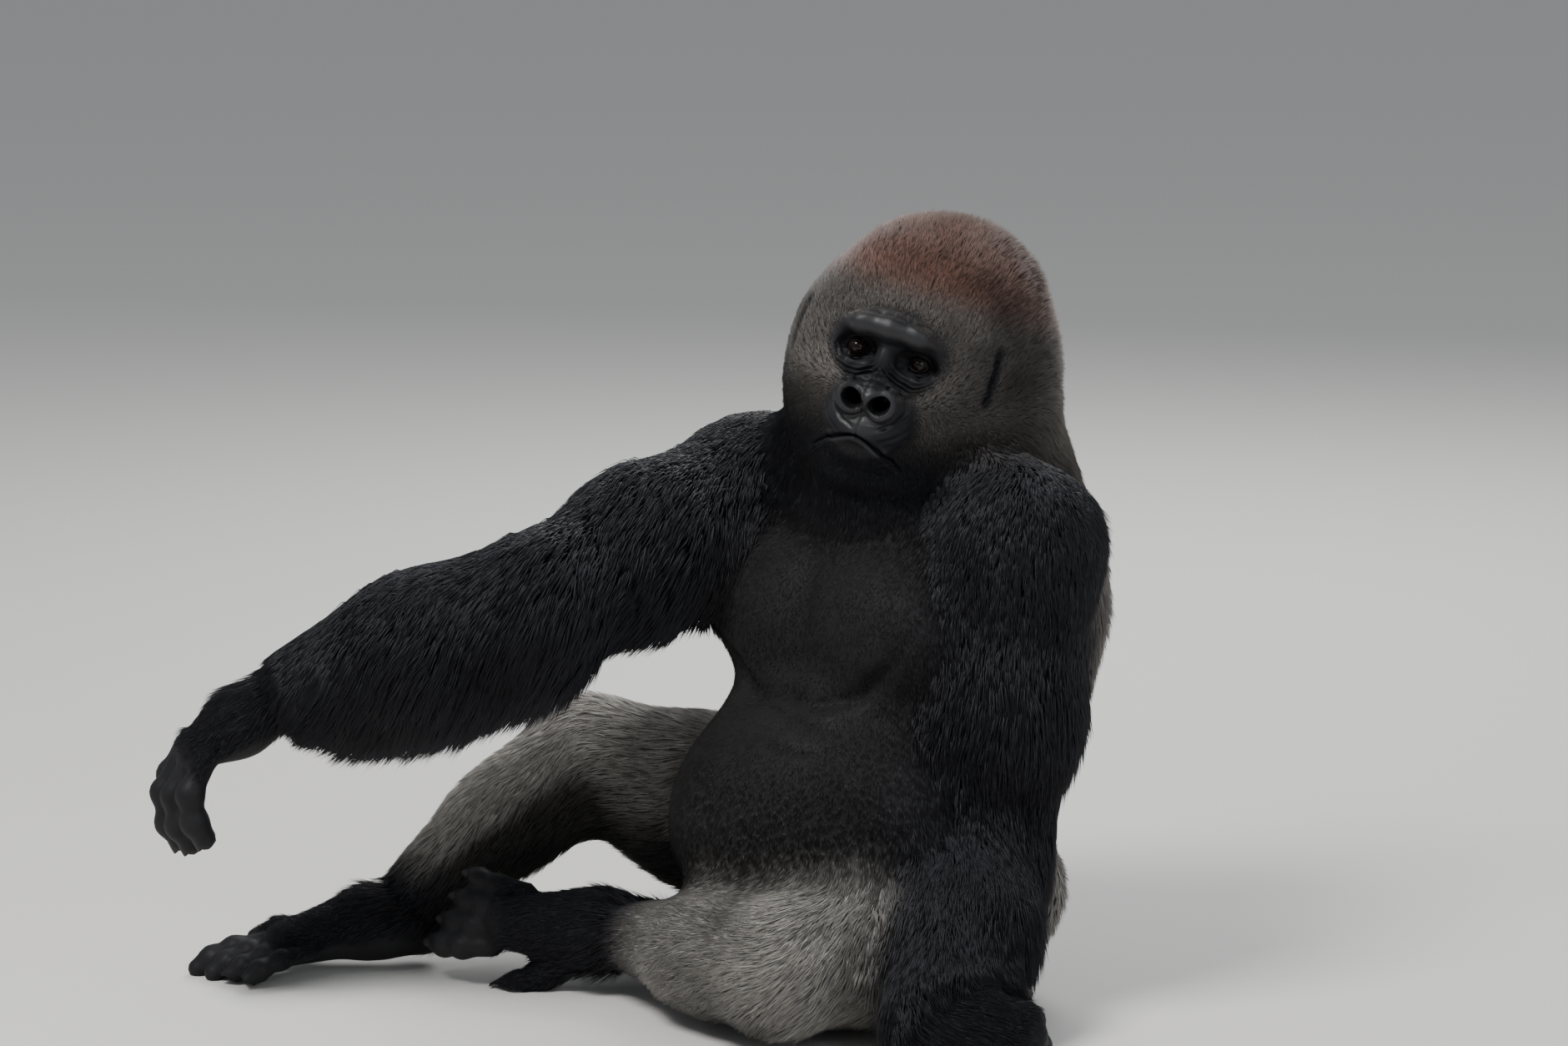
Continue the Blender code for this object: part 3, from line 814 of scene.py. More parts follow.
PELTS = {
    "head": Pelt(0.016, 0.0060, 0.00135, 32, 0.1),
    "neck": Pelt(0.027, 0.0090, 0.0018, 28, 0.2),
    "trunk": Pelt(0.026, 0.0075, 0.0019, 22, 0.2),
    "upper_arm": Pelt(0.050, 0.0145, 0.0020, 26, 0.5),
    "forearm": Pelt(0.058, 0.0170, 0.0020, 28, 0.8),
    "hand": Pelt(0.018, 0.0030, 0.0014, 20, 0.2),
    "thigh": Pelt(0.029, 0.0075, 0.0018, 22, 0.25),
    "shank": Pelt(0.027, 0.0070, 0.0017, 22, 0.25),
    "foot": Pelt(0.014, 0.0026, 0.0013, 20, 0.2),
}


def pelt_of(part: Part) -> Pelt:
    """The coat's growth on a part, the same on both sides of the body."""
    name = part.value[:-2] if part.value[-2:] in ("_l", "_r") else part.value
    return PELTS[name]


def grown(weights: np.ndarray, what: str) -> np.ndarray:
    """One measure of the coat's growth at each point, blended over the parts."""
    return weights @ np.array([getattr(pelt_of(part), what) for part in PARTS])


@dataclass
class SkinData:
    """What the coat needs to know of the skin, one row for each vertex."""

    points: np.ndarray
    normals: np.ndarray
    triangles: np.ndarray
    weights: np.ndarray
    labels: np.ndarray
    lie: np.ndarray
    bare: np.ndarray


def deselect_all() -> None:
    """Leaves edit mode and selects nothing."""
    if bpy.context.object and bpy.context.object.mode != "OBJECT":
        bpy.ops.object.mode_set(mode="OBJECT")
    bpy.ops.object.select_all(action="DESELECT")


def make_active(piece: bpy.types.Object) -> None:
    """Selects one piece alone and makes it the active one.

    Args:
        piece: The piece.
    """
    deselect_all()
    piece.select_set(True)
    bpy.context.view_layer.objects.active = piece


def vertex_rows(mesh: bpy.types.Mesh, what: str = "co") -> np.ndarray:
    """Reads a three-part value of every vertex as rows.

    Args:
        mesh: The mesh.
        what: The value's name.

    Returns:
        One row for each vertex.
    """
    rows = np.empty(len(mesh.vertices) * 3)
    mesh.vertices.foreach_get(what, rows)
    return rows.reshape(-1, 3)


def triangle_rows(mesh: bpy.types.Mesh) -> np.ndarray:
    """Reads the mesh as rows of three vertex numbers.

    Args:
        mesh: The mesh.

    Returns:
        One row for each triangle.
    """
    mesh.calc_loop_triangles()
    rows = np.empty(len(mesh.loop_triangles) * 3, dtype=np.int64)
    mesh.loop_triangles.foreach_get("vertices", rows)
    return rows.reshape(-1, 3)


class Neighbours:
    """Averages values over the edges of a mesh."""

    def __init__(self, mesh: bpy.types.Mesh) -> None:
        """Finds every vertex's neighbours.

        Args:
            mesh: The mesh.
        """
        ends = np.empty(len(mesh.edges) * 2, dtype=np.int64)
        mesh.edges.foreach_get("vertices", ends)
        ends = ends.reshape(-1, 2)
        pairs = np.concatenate([ends, ends[:, ::-1]])
        pairs = pairs[np.argsort(pairs[:, 0], kind="stable")]
        self.count = len(mesh.vertices)
        self.others = pairs[:, 1]
        self.starts = np.searchsorted(pairs[:, 0], np.arange(self.count))
        self.share = 1.0 / np.maximum(np.bincount(pairs[:, 0], minlength=self.count), 1)

    def smooth(self, values: np.ndarray, rounds: int, factor: float = 0.6) -> np.ndarray:
        """Averages each row with its neighbours' rows.

        Args:
            values: One row for each vertex.
            rounds: How many times.
            factor: How far each row moves to its neighbours' mean.

        Returns:
            The smoothed rows.
        """
        for _ in range(rounds):
            mean = np.add.reduceat(values[self.others], self.starts, axis=0) * self.share[:, None]
            values = values + factor * (mean - values)
        return values


def unit(rows: np.ndarray) -> np.ndarray:
    """Rows at length one."""
    return rows / np.maximum(np.linalg.norm(rows, axis=1), 1e-9)[:, None]


@dataclass
class Skin:
    """One skin over the whole body, lying inside the coat, with the face's folds."""

    face: Face
    voxel: float = 0.0107
    swell: float = 0.0008
    divisions: int = 4
    part_blend: int = 11
    lie_blend: int = 24
    wrist_blend: int = 30
    least_depth: float = 0.0006
    chest_bareness: float = 0.46
    floor_gap: float = 0.0005
    flesh: list[str] = field(default_factory=lambda: [part.value for part in PARTS] + ["ear_l", "ear_r"])

    def joined_flesh(self) -> bpy.types.Object:
        """Copies the flesh nodes, swells them until they meet, and joins them.

        Returns:
            The joined piece.
        """
        deselect_all()
        copies = []
        for name in self.flesh:
            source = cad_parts[name]
            copy = bpy.data.objects.new("flesh", source.data.copy())
            bpy.context.scene.collection.objects.link(copy)
            bm = bmesh.new()
            bm.from_mesh(copy.data)
            bmesh.ops.remove_doubles(bm, verts=bm.verts, dist=0.00005)
            bm.normal_update()
            for vert in bm.verts:
                vert.co += vert.normal * self.swell
            bm.to_mesh(copy.data)
            bm.free()
            copy.select_set(True)
            copies.append(copy)
        bpy.context.view_layer.objects.active = copies[0]
        bpy.ops.object.join()
        skin = bpy.context.object
        skin.name = skin.data.name = "skin"
        skin.data.materials.clear()
        return skin

    def remeshed(self, skin: bpy.types.Object) -> None:
        """Turns the joined lengths into one even, smooth surface.

        Args:
            skin: The joined piece.
        """
        make_active(skin)
        remesh = skin.modifiers.new("One skin", "REMESH")
        remesh.mode = "VOXEL"
        remesh.voxel_size = self.voxel
        bpy.ops.object.modifier_apply(modifier=remesh.name)
        smooth = skin.modifiers.new("Soft", "SMOOTH")
        smooth.factor, smooth.iterations = 0.5, 7
        bpy.ops.object.modifier_apply(modifier=smooth.name)

    def levels(self, points: np.ndarray) -> np.ndarray:
        """How many times the faces round each point are divided: most at the eyes, nose and mouth.

        Args:
            points: World points.

        Returns:
            A number of divisions for each point.
        """
        local = in_head(points)
        wanted = np.zeros(len(points))
        for detail in DETAILS:
            wanted[detail.holds(local)] = detail.divisions
        eye = np.hypot(np.abs(local[:, 0]) - EYE_SPACING / 2, local[:, 2] + 0.006)
        wanted[(eye < 0.029) & (local[:, 1] < 0.04)] = 3
        wanted[(eye < 0.025) & (local[:, 1] < 0.04)] = 4
        wanted[self.face.lip_line(local) < 0.007] = 4
        wanted[self.face.slit(local) < 0.015] = 2
        front = (points[:, 1] < -0.05) & (points[:, 2] < 0.60)
        for fold in FOLDS[:3]:
            near = front & (fold.distance(points) < 0.022)
            wanted[near] = np.maximum(wanted[near], 1)
        for part in EXTREMITIES:
            past, across = BONES[part].split(points)
            wanted[(past > 0.02) & (past < 0.33) & (np.linalg.norm(across, axis=1) < 0.11)] = 1
        return wanted

    def refine(self, skin: bpy.types.Object, level: int) -> None:
        """Divides once more the faces that want more than this many divisions.

        Args:
            skin: The piece.
            level: This many divisions.
        """
        mesh = skin.data
        chosen = self.levels(vertex_rows(mesh)) > level
        make_active(skin)
        bpy.ops.object.mode_set(mode="EDIT")
        bpy.ops.mesh.select_all(action="DESELECT")
        bm = bmesh.from_edit_mesh(mesh)
        bm.verts.ensure_lookup_table()
        for each in bm.faces:
            each.select = all(chosen[vert.index] for vert in each.verts)
        bmesh.update_edit_mesh(mesh)
        bpy.ops.mesh.subdivide(number_cuts=1, quadcorner="INNERVERT")
        bpy.ops.object.mode_set(mode="OBJECT")
        LOG.info("skin, divided %d times: %d faces", level + 1, len(mesh.polygons))

    def labels_of(self, points: np.ndarray) -> tuple[np.ndarray, np.ndarray]:
        """Finds the part of the body that each point lies nearest to.

        Args:
            points: World points.

        Returns:
            The part's number for each point, and whether it is an ear.
        """
        verts, polygons, owner = [], [], []
        for name in self.flesh:
            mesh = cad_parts[name].data
            start = len(verts)
            verts += [vert.co.copy() for vert in mesh.vertices]
            number = PARTS.index(Part(name)) if not name.startswith("ear") else -1
            for polygon in mesh.polygons:
                polygons.append([start + index for index in polygon.vertices])
                owner.append(number)
        tree = BVHTree.FromPolygons(verts, polygons)
        labels = np.array([owner[tree.find_nearest(Vector(point))[2]] for point in points])
        return np.maximum(labels, 0), labels < 0

    def depth(self, weights: np.ndarray, bare: np.ndarray) -> np.ndarray:
        """How far inside the solids the skin lies: the coat's own depth, nothing where it is bare."""
        return grown(weights, "sink") * (1.0 - bare) + self.least_depth

    def bareness(self, points: np.ndarray, normals: np.ndarray, weights: np.ndarray) -> np.ndarray:
        """How bare the skin is, over the whole body: face, chest, palms, soles and knuckles.

        Args:
            points: World points.
            normals: The skin's normals there.
            weights: How far each point belongs to each part.

        Returns:
            0 under full hair, 1 where bare.
        """
        bare = self.face.bare(in_head(points)) * (share_of(weights, Part.HEAD) > 0.02)
        chest = np.hypot(points[:, 0] / 0.20, (points[:, 2] - 0.450) / 0.160)
        front = ramp(-normals[:, 1], -0.1, 0.50)
        trunk = share_of(weights, Part.TRUNK) + share_of(weights, Part.NECK)
        bare = np.maximum(bare, self.chest_bareness * ramp(chest, 1.30, 0.40) * front * trunk)
        for side in "lr":
            ends = ((HAND_BACKS, Part("hand_" + side), PALM), (FOOT_BACKS, Part("foot_" + side), SOLE))
            for backs, part, reach in ends:
                bone = BONES[part]
                back = np.array((backs[side] - backs[side].dot(bone.along()) * bone.along()).normalized())
                under = ramp(-(normals @ back), -0.15, 0.45)
                fingers = ramp(bone.past(points), reach * 0.86, reach * 1.12)
                bare = np.maximum(bare, np.maximum(under, fingers) * share_of(weights, part))
        return np.clip(bare, 0.0, 1.0)

    def wrists(self, weights: np.ndarray) -> np.ndarray:
        """How near each point lies to a wrist or an ankle, where the skin narrows gently.

        Args:
            weights: How far each point belongs to each part.

        Returns:
            1 there, falling to 0.
        """
        pairs = [(Part(outer + side), Part(inner + side)) for side in "lr"
                 for outer, inner in (("hand_", "forearm_"), ("foot_", "shank_"))]
        shares = [share_of(weights, outer) * share_of(weights, inner) for outer, inner in pairs]
        return np.clip(4.4 * np.sum(shares, axis=0), 0.0, 1.0)

    def settle(self, points: np.ndarray, depth: np.ndarray, forms: list, matrix: Matrix,
               rounds: int = 9) -> tuple[np.ndarray, np.ndarray]:
        """Moves points onto blended forms, sunk by the coat's depth.

        Args:
            points: World points.
            depth: How far inside the forms each one goes.
            forms: The forms, drawn in a frame of their own.
            matrix: Where that frame stands.
            rounds: How many steps are taken.

        Returns:
            The moved points and the ways out of the forms, both in that frame.
        """
        local = carried(points, matrix.inverted())
        step, slope = 0.0004, np.zeros_like(local)
        for _ in range(rounds):
            value = blended(forms, local) + depth
            slope = np.stack([(blended(forms, local + np.eye(3)[axis] * step) + depth - value) / step
                              for axis in range(3)], -1)
            length = np.maximum((slope**2).sum(axis=1), 0.2)
            local = local - 0.8 * np.clip(value / length, -0.005, 0.005)[:, None] * slope
        return local, unit(slope)

    def settle_head(self, points: np.ndarray, depth: np.ndarray) -> np.ndarray:
        """Moves points of the head onto the face's own forms and presses its folds in.

        Args:
            points: World points.
            depth: How far inside the forms each one goes.

        Returns:
            The moved points.
        """
        local, slope = self.settle(points, depth, self.face.forms(), HEAD)
        sink = self.face.pressed(local)[:, None]
        return carried(self.face.opened(local - slope * sink), HEAD)

    def make_lie(self, points: np.ndarray, normals: np.ndarray, weights: np.ndarray) -> np.ndarray:
        """Works out the way the hair lies, along the skin.

        Args:
            points: World points.
            normals: The skin's normals there.
            weights: How far each point belongs to each part.

        Returns:
            A direction for each point.
        """
        local = in_head(points)
        rise = 0.25 - 1.6 * np.maximum(local[:, 1] - 0.05, 0.0) - 0.5 * ramp(-local[:, 2], 0.0, 0.10)
        crown = np.stack([0.55 * local[:, 0], np.full(len(local), 0.16), rise], -1)
        crown = unit(crown) @ np.array(HEAD)[:3, :3].T
        lie = np.zeros_like(points)
        for part in PARTS:
            way = np.array(BONES[part].along()) + np.array((0, 0, -pelt_of(part).droop))
            rows = np.repeat(way[None, :], len(points), axis=0)
            if part is Part.HEAD:
                rows = crown
            if part is Part.TRUNK:
                rows = rows + 0.5 * points * np.array((1, 0, 0))
            lie += share_of(weights, part)[:, None] * unit(rows)
        return lie - (lie * normals).sum(axis=1)[:, None] * normals

    def shaped(self, mesh: bpy.types.Mesh, near: Neighbours, sharp: np.ndarray,
               ear: np.ndarray) -> np.ndarray:
        """Works out where the skin lies: inside the coat, on the face's, hands' and feet's own forms.

        Args:
            mesh: The even surface.
            near: Its neighbours.
            sharp: 1 for the part each vertex lies nearest to, 0 for the others.
            ear: How far each vertex belongs to an ear.

        Returns:
            A new place for each vertex.
        """
        points, normals = vertex_rows(mesh), unit(near.smooth(vertex_rows(mesh, "normal"), 3))
        weights = near.smooth(sharp, self.part_blend)
        head = near.smooth(sharp[:, :1], 10)[:, 0]
        bare = self.bareness(points, normals, weights)
        depth = near.smooth(self.depth(weights, bare)[:, None], 3)[:, 0]
        depth *= 1.0 - 0.10 * ear
        body = near.smooth(points - normals * depth[:, None], 2, 0.4)
        body = mix(body, near.smooth(body, 36), self.wrists(near.smooth(sharp, self.wrist_blend)))
        inner = head > 0.02
        settled = body.copy()
        settled[inner] = self.settle_head(points[inner], depth[inner])
        points = mix(body, settled, ramp(head, 0.15, 0.75))
        for part, extremity in EXTREMITIES.items():
            weight = share_of(weights, part)
            mine = weight > 0.02
            local, _ = self.settle(points[mine], depth[mine], extremity.forms(), extremity.place(), 6)
            moved = carried(local, extremity.place())
            points[mine] = mix(points[mine], moved, ramp(weight[mine], 0.25, 0.80))
        front = ramp(-normals[:, 1], 0.0, 0.35)
        front *= share_of(weights, Part.TRUNK) + share_of(weights, Part.NECK)
        front *= ramp(points[:, 2], 0.26, 0.30)
        points -= normals * (front * sum(fold.press(points) for fold in FOLDS))[:, None]
        points[:, 2] = np.maximum(points[:, 2], self.floor_gap)
        return points

    def build(self) -> SkinData:
        """Builds the skin.

        Returns:
            What the coat needs to know of it.
        """
        skin = self.joined_flesh()
        self.remeshed(skin)
        for level in range(self.divisions):
            self.refine(skin, level)
        mesh = skin.data
        near = Neighbours(mesh)
        labels, ears = self.labels_of(vertex_rows(mesh))
        ear = near.smooth(ears[:, None].astype(float), 2)[:, 0]
        sharp = np.eye(len(PARTS))[labels]
        mesh.vertices.foreach_set("co", self.shaped(mesh, near, sharp, ear).ravel())
        mesh.update()
        make_active(skin)
        triangulate = skin.modifiers.new("Triangles", "TRIANGULATE")
        bpy.ops.object.modifier_apply(modifier=triangulate.name)
        bpy.ops.object.shade_smooth()
        mesh = skin.data
        points, normals = vertex_rows(mesh), vertex_rows(mesh, "normal")
        weights = near.smooth(sharp, self.part_blend)
        lie = near.smooth(self.make_lie(points, normals, near.smooth(sharp, self.lie_blend)), 4)
        lie = unit(lie - (lie * normals).sum(axis=1)[:, None] * normals)
        bare = np.maximum(self.bareness(points, normals, weights), 0.2 * ear)
        markings = Markings()
        write_colours(mesh, markings.skin(points, normals, weights, bare), markings.gloss(points, bare))
        mesh.materials.append(SkinFinish().build())
        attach(skin, "root")
        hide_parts(*self.flesh)
        LOG.info("skin: %d triangles", len(mesh.polygons))
        return SkinData(points, normals, triangle_rows(mesh), weights, labels, lie, bare)


def write_colours(mesh: bpy.types.Mesh, colours: np.ndarray, gloss: np.ndarray) -> None:
    """Keeps one colour for each vertex, with its gloss, under the name the materials read."""
    layer = mesh.color_attributes.new("markings", "FLOAT_COLOR", "POINT")
    layer.data.foreach_set("color", np.column_stack([colours, gloss]).ravel())


class Markings:
    """The colours of skin and coat, worked out from where they are on the body."""

    CHESTNUT = np.array((0.112, 0.060, 0.046))
    GREY_BROWN = np.array((0.074, 0.067, 0.062))
    NAPE = np.array((0.168, 0.157, 0.142))
    BLACK = np.array((0.0135, 0.0138, 0.0170))
    BELLY = np.array((0.0190, 0.0178, 0.0182))
    SILVER = np.array((0.270, 0.260, 0.245))
    LEG = np.array((0.270, 0.258, 0.238))
    # Inner and lower sides of the legs: their own darker hair with painted shade.
    LEG_INNER_AND_SHADE = np.array((0.046, 0.043, 0.041))
    FACE_SKIN = np.array((0.0088, 0.0090, 0.0108))
    CHEST_SKIN = np.array((0.0140, 0.0138, 0.0150))
    PALM_SKIN = np.array((0.0085, 0.0085, 0.0098))

    def coat(self, points: np.ndarray, normals: np.ndarray, weights: np.ndarray) -> np.ndarray:
        """The coat's colour at each point, with painted shade on the legs and before the ears.

        Args:
            points: World points on the skin.
            normals: The skin's normals there.
            weights: How far each point belongs to each part.

        Returns:
            A colour for each point.
        """
        colours = np.zeros_like(points)
        for part in PARTS:
            colours += share_of(weights, part)[:, None] * self.part(part, points, normals)
        mottle = 1.0 + 0.16 * waves(points, 0.05, 3)[:, None] + 0.10 * waves(points, 0.014, 4)[:, None]
        return np.clip(colours * mottle, 0.002, 1.0)

    def part(self, part: Part, points: np.ndarray, normals: np.ndarray) -> np.ndarray:
        """The coat's colour over one part, before the parts are blended.

        Args:
            part: The part.
            points: World points.
            normals: The skin's normals there.

        Returns:
            A colour for each point.
        """
        if part is Part.HEAD:
            return self.head(in_head(points))
        if part is Part.NECK:
            rear = mix(self.NAPE * 0.72, self.NAPE * 0.90, ramp(points[:, 2], 0.60, 0.80))
            return mix(self.BLACK * 1.6, rear, ramp(normals[:, 1], -0.30, 0.35))
        if part is Part.TRUNK:
            return self.trunk(points, normals)
        if part.value.startswith(("thigh", "shank")):
            return self.leg(part, points, normals)
        dark = self.BLACK * (1.25 if "upper" in part.value else 1.0)
        return np.repeat(dark[None, :], len(points), axis=0)

    def head(self, local: np.ndarray) -> np.ndarray:
        """The head's colour: grey-brown cheeks, chestnut crown, black jaw and painted shade in the slit by
        the ear.

        Args:
            local: Points in the head's own frame.

        Returns:
            A colour for each point.
        """
        rows = mix(self.GREY_BROWN, self.NAPE, 0.85 * ramp(local[:, 1], 0.09, 0.22))
        crown = ramp(local[:, 2] + 0.25 * local[:, 1], 0.060, 0.115)
        rows = mix(rows, self.CHESTNUT, crown * ramp(local[:, 1], 0.24, 0.12))
        jaw = ramp(local[:, 2], -0.055, -0.125) * ramp(local[:, 1], 0.11, 0.03)
        # Painted shade: the coat is darkened in and beside the groove before each ear.
        jaw = np.maximum(jaw, 0.92 * ramp(Face().slit(local), 0.013, 0.004))
        return mix(rows, self.BLACK * 1.3, jaw)

    def trunk(self, points: np.ndarray, normals: np.ndarray) -> np.ndarray:
        """The trunk's colour: dark grey belly, blacker flanks, grey-brown withers and silver saddle.

        Args:
            points: World points.
            normals: The skin's normals there.

        Returns:
            A colour for each point.
        """
        facing = normals[:, 1] + 0.35 * (0.30 - points[:, 2])
        back = ramp(facing + 0.08 * waves(points, 0.06, 8), -0.10, 0.75)
        saddle = ramp(points[:, 2] + 0.02 * waves(points, 0.05, 7), 0.68, 0.40)
        withers = mix(self.GREY_BROWN * 1.35, self.NAPE * 0.72, ramp(points[:, 2], 0.56, 0.68))
        upper = mix(withers, self.SILVER, saddle)
        front = mix(self.BELLY, self.BLACK * 1.4, ramp(np.abs(points[:, 0]), 0.12, 0.24))
        return mix(front, upper, back)

    def leg(self, part: Part, points: np.ndarray, normals: np.ndarray) -> np.ndarray:
        """A thigh's or shank's colour: grey outside, darker inside and below (own hair and painted shade),
        black towards the ankle.

        Args:
            part: The part.
            points: World points.
            normals: The skin's normals there.

        Returns:
            A colour for each point.
        """
        side = 1.0 if part.value.endswith("_l") else -1.0
        # Darker on the inner side and underneath: partly the legs' own darker hair, partly painted shade.
        inner = ramp(-side * normals[:, 0] - 0.6 * normals[:, 2], 0.15, 0.75)
        if part in (Part.THIGH_R, Part.SHANK_R):
            inner = ramp(normals[:, 0] * 0.8 - normals[:, 2] * 0.9, 0.05, 0.55)
        if part is Part.SHANK_L:
            inner = ramp(-normals[:, 2], 0.35, 0.95)
        rows = mix(self.LEG, self.LEG_INNER_AND_SHADE, inner)
        if part in (Part.SHANK_L, Part.SHANK_R):
            rows = mix(rows, self.BLACK * 1.5, ramp(BONES[part].past(points), SHIN * 0.60, SHIN * 0.92))
        return rows

    def skin(self, points: np.ndarray, normals: np.ndarray, weights: np.ndarray,
             bare: np.ndarray) -> np.ndarray:
        """The skin's colour: the coat's, darker, under hair, for the dark skin and painted shade of the hair;
        its own where bare.

        Args:
            points: World points.
            normals: The skin's normals there.
            weights: How far each point belongs to each part.
            bare: How bare the skin is there.

        Returns:
            A colour for each point.
        """
        # Under hair: the dark skin with painted shade of the hair over it, less dark on the front of the
        # trunk.
        front = ramp(-normals[:, 1], -0.2, 0.3) * share_of(weights, Part.TRUNK)
        under = self.coat(points, normals, weights) * (0.32 + 0.36 * front)[:, None]
        chest = share_of(weights, Part.TRUNK) + share_of(weights, Part.NECK)
        own = mix(self.FACE_SKIN, self.CHEST_SKIN, np.clip(chest, 0, 1))
        ends = sum(share_of(weights, part) for part in EXTREMITIES)
        own = mix(own, self.PALM_SKIN, np.clip(ends, 0, 1))
        own = own * (1.0 + 0.20 * waves(points, 0.02, 11)[:, None])
        # Painted shade in the nostrils, between the lips and in the eyes' sockets.
        own = own * (1.0 - 0.92 * Face().dark(in_head(points)))[:, None]
        return mix(under, own, bare)

    def gloss(self, points: np.ndarray, bare: np.ndarray) -> np.ndarray:
        """How shiny the skin is at each point: most on the nose, the brow and the lips.

        Args:
            points: World points.
            bare: How bare the skin is there.

        Returns:
            0 for dull, 1 for shiny.
        """
        local = in_head(points)
        x, z = np.abs(local[:, 0]), local[:, 2]
        face = ramp(local[:, 1], 0.10, 0.06)
        nose = ramp(np.hypot(x / 0.042, (z + 0.060) / 0.030), 1.25, 0.70)
        brow = ramp(np.hypot(x / 0.070, (z - 0.034) / 0.016), 1.20, 0.60)
        lips = ramp(np.abs(z + 0.117), 0.022, 0.010) * ramp(x, 0.060, 0.045)
        shine = np.maximum(np.maximum(nose, brow), 0.7 * lips) * face
        chest = 0.80 * ramp(points[:, 2], 0.30, 0.40) * ramp(points[:, 2], 0.62, 0.55) * (face <= 0.0)
        return np.clip(bare * (0.30 + 0.70 * shine + chest), 0.0, 1.0)


# --- Finishes ------------------------------------------------------------------------------------
class Graph:
    """Places and links the nodes of one material or node group."""

    def __init__(self, tree: bpy.types.NodeTree) -> None:
        """Works in the given tree."""
        self.tree = tree

    def node(self, kind: str, settings: dict | None = None, **inputs: object) -> bpy.types.Node:
        """Adds a node.

        Args:
            kind: The node's type.
            settings: Its own settings.
            **inputs: Values or sockets for its inputs, spaces written as underscores.

        Returns:
            The new node.
        """
        node = self.tree.nodes.new(kind)
        for key, value in (settings or {}).items():
            setattr(node, key, value)
        for key, value in inputs.items():
            socket = node.inputs[int(key[1:])] if key[1:].isdigit() else node.inputs[key.replace("_", " ")]
            if isinstance(value, bpy.types.NodeSocket):
                self.tree.links.new(value, socket)
            else:
                socket.default_value = value
        return node

    def math(self, kind: str, first: object, second: object) -> object:
        """A sum on two values."""
        return self.node("ShaderNodeMath", {"operation": kind}, i0=first, i1=second).outputs[0]


def new_material(name: str) -> tuple[bpy.types.Material, Graph, bpy.types.Node]:
    """Makes a material with one Principled shader.

    Args:
        name: Its name.

    Returns:
        The material, its graph and its shader.
    """
    material = bpy.data.materials.new(name)
    material.use_nodes = True
    return material, Graph(material.node_tree), material.node_tree.nodes["Principled BSDF"]


def fine_folds() -> bpy.types.NodeTree:
    """Builds, once, the network of fine folds and pores of thick skin.

    Returns:
        The node group, which puts out a height.
    """
    if "fine_folds" in bpy.data.node_groups:
        return bpy.data.node_groups["fine_folds"]
    tree = bpy.data.node_groups.new("fine_folds", "ShaderNodeTree")
    tree.interface.new_socket("Scale", in_out="INPUT", socket_type="NodeSocketFloat")
    tree.interface.new_socket("Height", in_out="OUTPUT", socket_type="NodeSocketFloat")
    graph = Graph(tree)
    given = graph.node("NodeGroupInput").outputs["Scale"]
    place = graph.node("ShaderNodeTexCoord").outputs["Object"]
    bend = graph.node("ShaderNodeTexNoise", Vector=place, Scale=60.0, Detail=2.0).outputs["Color"]
    shift = graph.node("ShaderNodeVectorMath", {"operation": "SCALE"}, i0=bend, Scale=0.006).outputs[0]
    moved = graph.node("ShaderNodeVectorMath", {"operation": "ADD"}, i0=place, i1=shift).outputs[0]
    cells = graph.node("ShaderNodeTexVoronoi", {"feature": "DISTANCE_TO_EDGE"}, Vector=moved, Scale=given)
    fold = graph.node("ShaderNodeMapRange", Value=cells.outputs["Distance"], From_Max=0.16).outputs[0]
    finer = graph.math("MULTIPLY", given, 2.6)
    pores = graph.node("ShaderNodeTexNoise", Vector=place, Scale=finer, Detail=3.0).outputs["Fac"]
    height = graph.math("ADD", fold, graph.math("MULTIPLY", pores, 0.7))
    graph.node("NodeGroupOutput", Height=height)
    return tree


@dataclass(frozen=True)
class SkinFinish:
    """Thick black skin: leathery and a little shiny where bare, dull under the coat."""

    name: str = "gorilla_skin"
    dull: float = 0.90
    shiny: float = 0.34
    folds: float = 420.0
    relief: float = 0.0004
    streaks: tuple = (1000.0, 1000.0, 110.0)
    hair_relief: float = 0.0015
    specular: float = 0.12
    wetness: float = 0.62
    wet_roughness: float = 0.48

    def build(self) -> bpy.types.Material:
        """Makes the material.

        Returns:
            The material.
        """
        material, graph, shader = new_material(self.name)
        marks = graph.node("ShaderNodeAttribute", {"attribute_name": "markings"})
        graph.tree.links.new(marks.outputs["Color"], shader.inputs["Base Color"])
        rough = graph.node("ShaderNodeMapRange", Value=marks.outputs["Alpha"], To_Min=self.dull,
                           To_Max=self.shiny).outputs[0]
        graph.tree.links.new(rough, shader.inputs["Roughness"])
        folds = graph.node("ShaderNodeGroup", {"node_tree": fine_folds()}, Scale=self.folds)
        bump = graph.node("ShaderNodeBump", Height=folds.outputs["Height"], Distance=self.relief,
                          Strength=0.40)
        place = graph.node("ShaderNodeTexCoord").outputs["Object"]
        drawn = graph.node("ShaderNodeVectorMath", {"operation": "MULTIPLY"}, i0=place, i1=self.streaks)
        hairs = graph.node("ShaderNodeTexNoise", Vector=drawn.outputs[0], Scale=1.0, Detail=3.0)
        haired = graph.node("ShaderNodeMapRange", Value=marks.outputs["Alpha"], From_Min=0.30, From_Max=0.12)
        short = graph.node("ShaderNodeBump", Height=hairs.outputs["Fac"], Distance=self.hair_relief,
                           Normal=bump.outputs[0], Strength=haired.outputs[0])
        graph.tree.links.new(short.outputs[0], shader.inputs["Normal"])
        shader.inputs["Specular IOR Level"].default_value = self.specular
        wet = graph.math("MULTIPLY", marks.outputs["Alpha"], self.wetness)
        graph.tree.links.new(wet, shader.inputs["Coat Weight"])
        shader.inputs["Coat Roughness"].default_value = self.wet_roughness
        return material


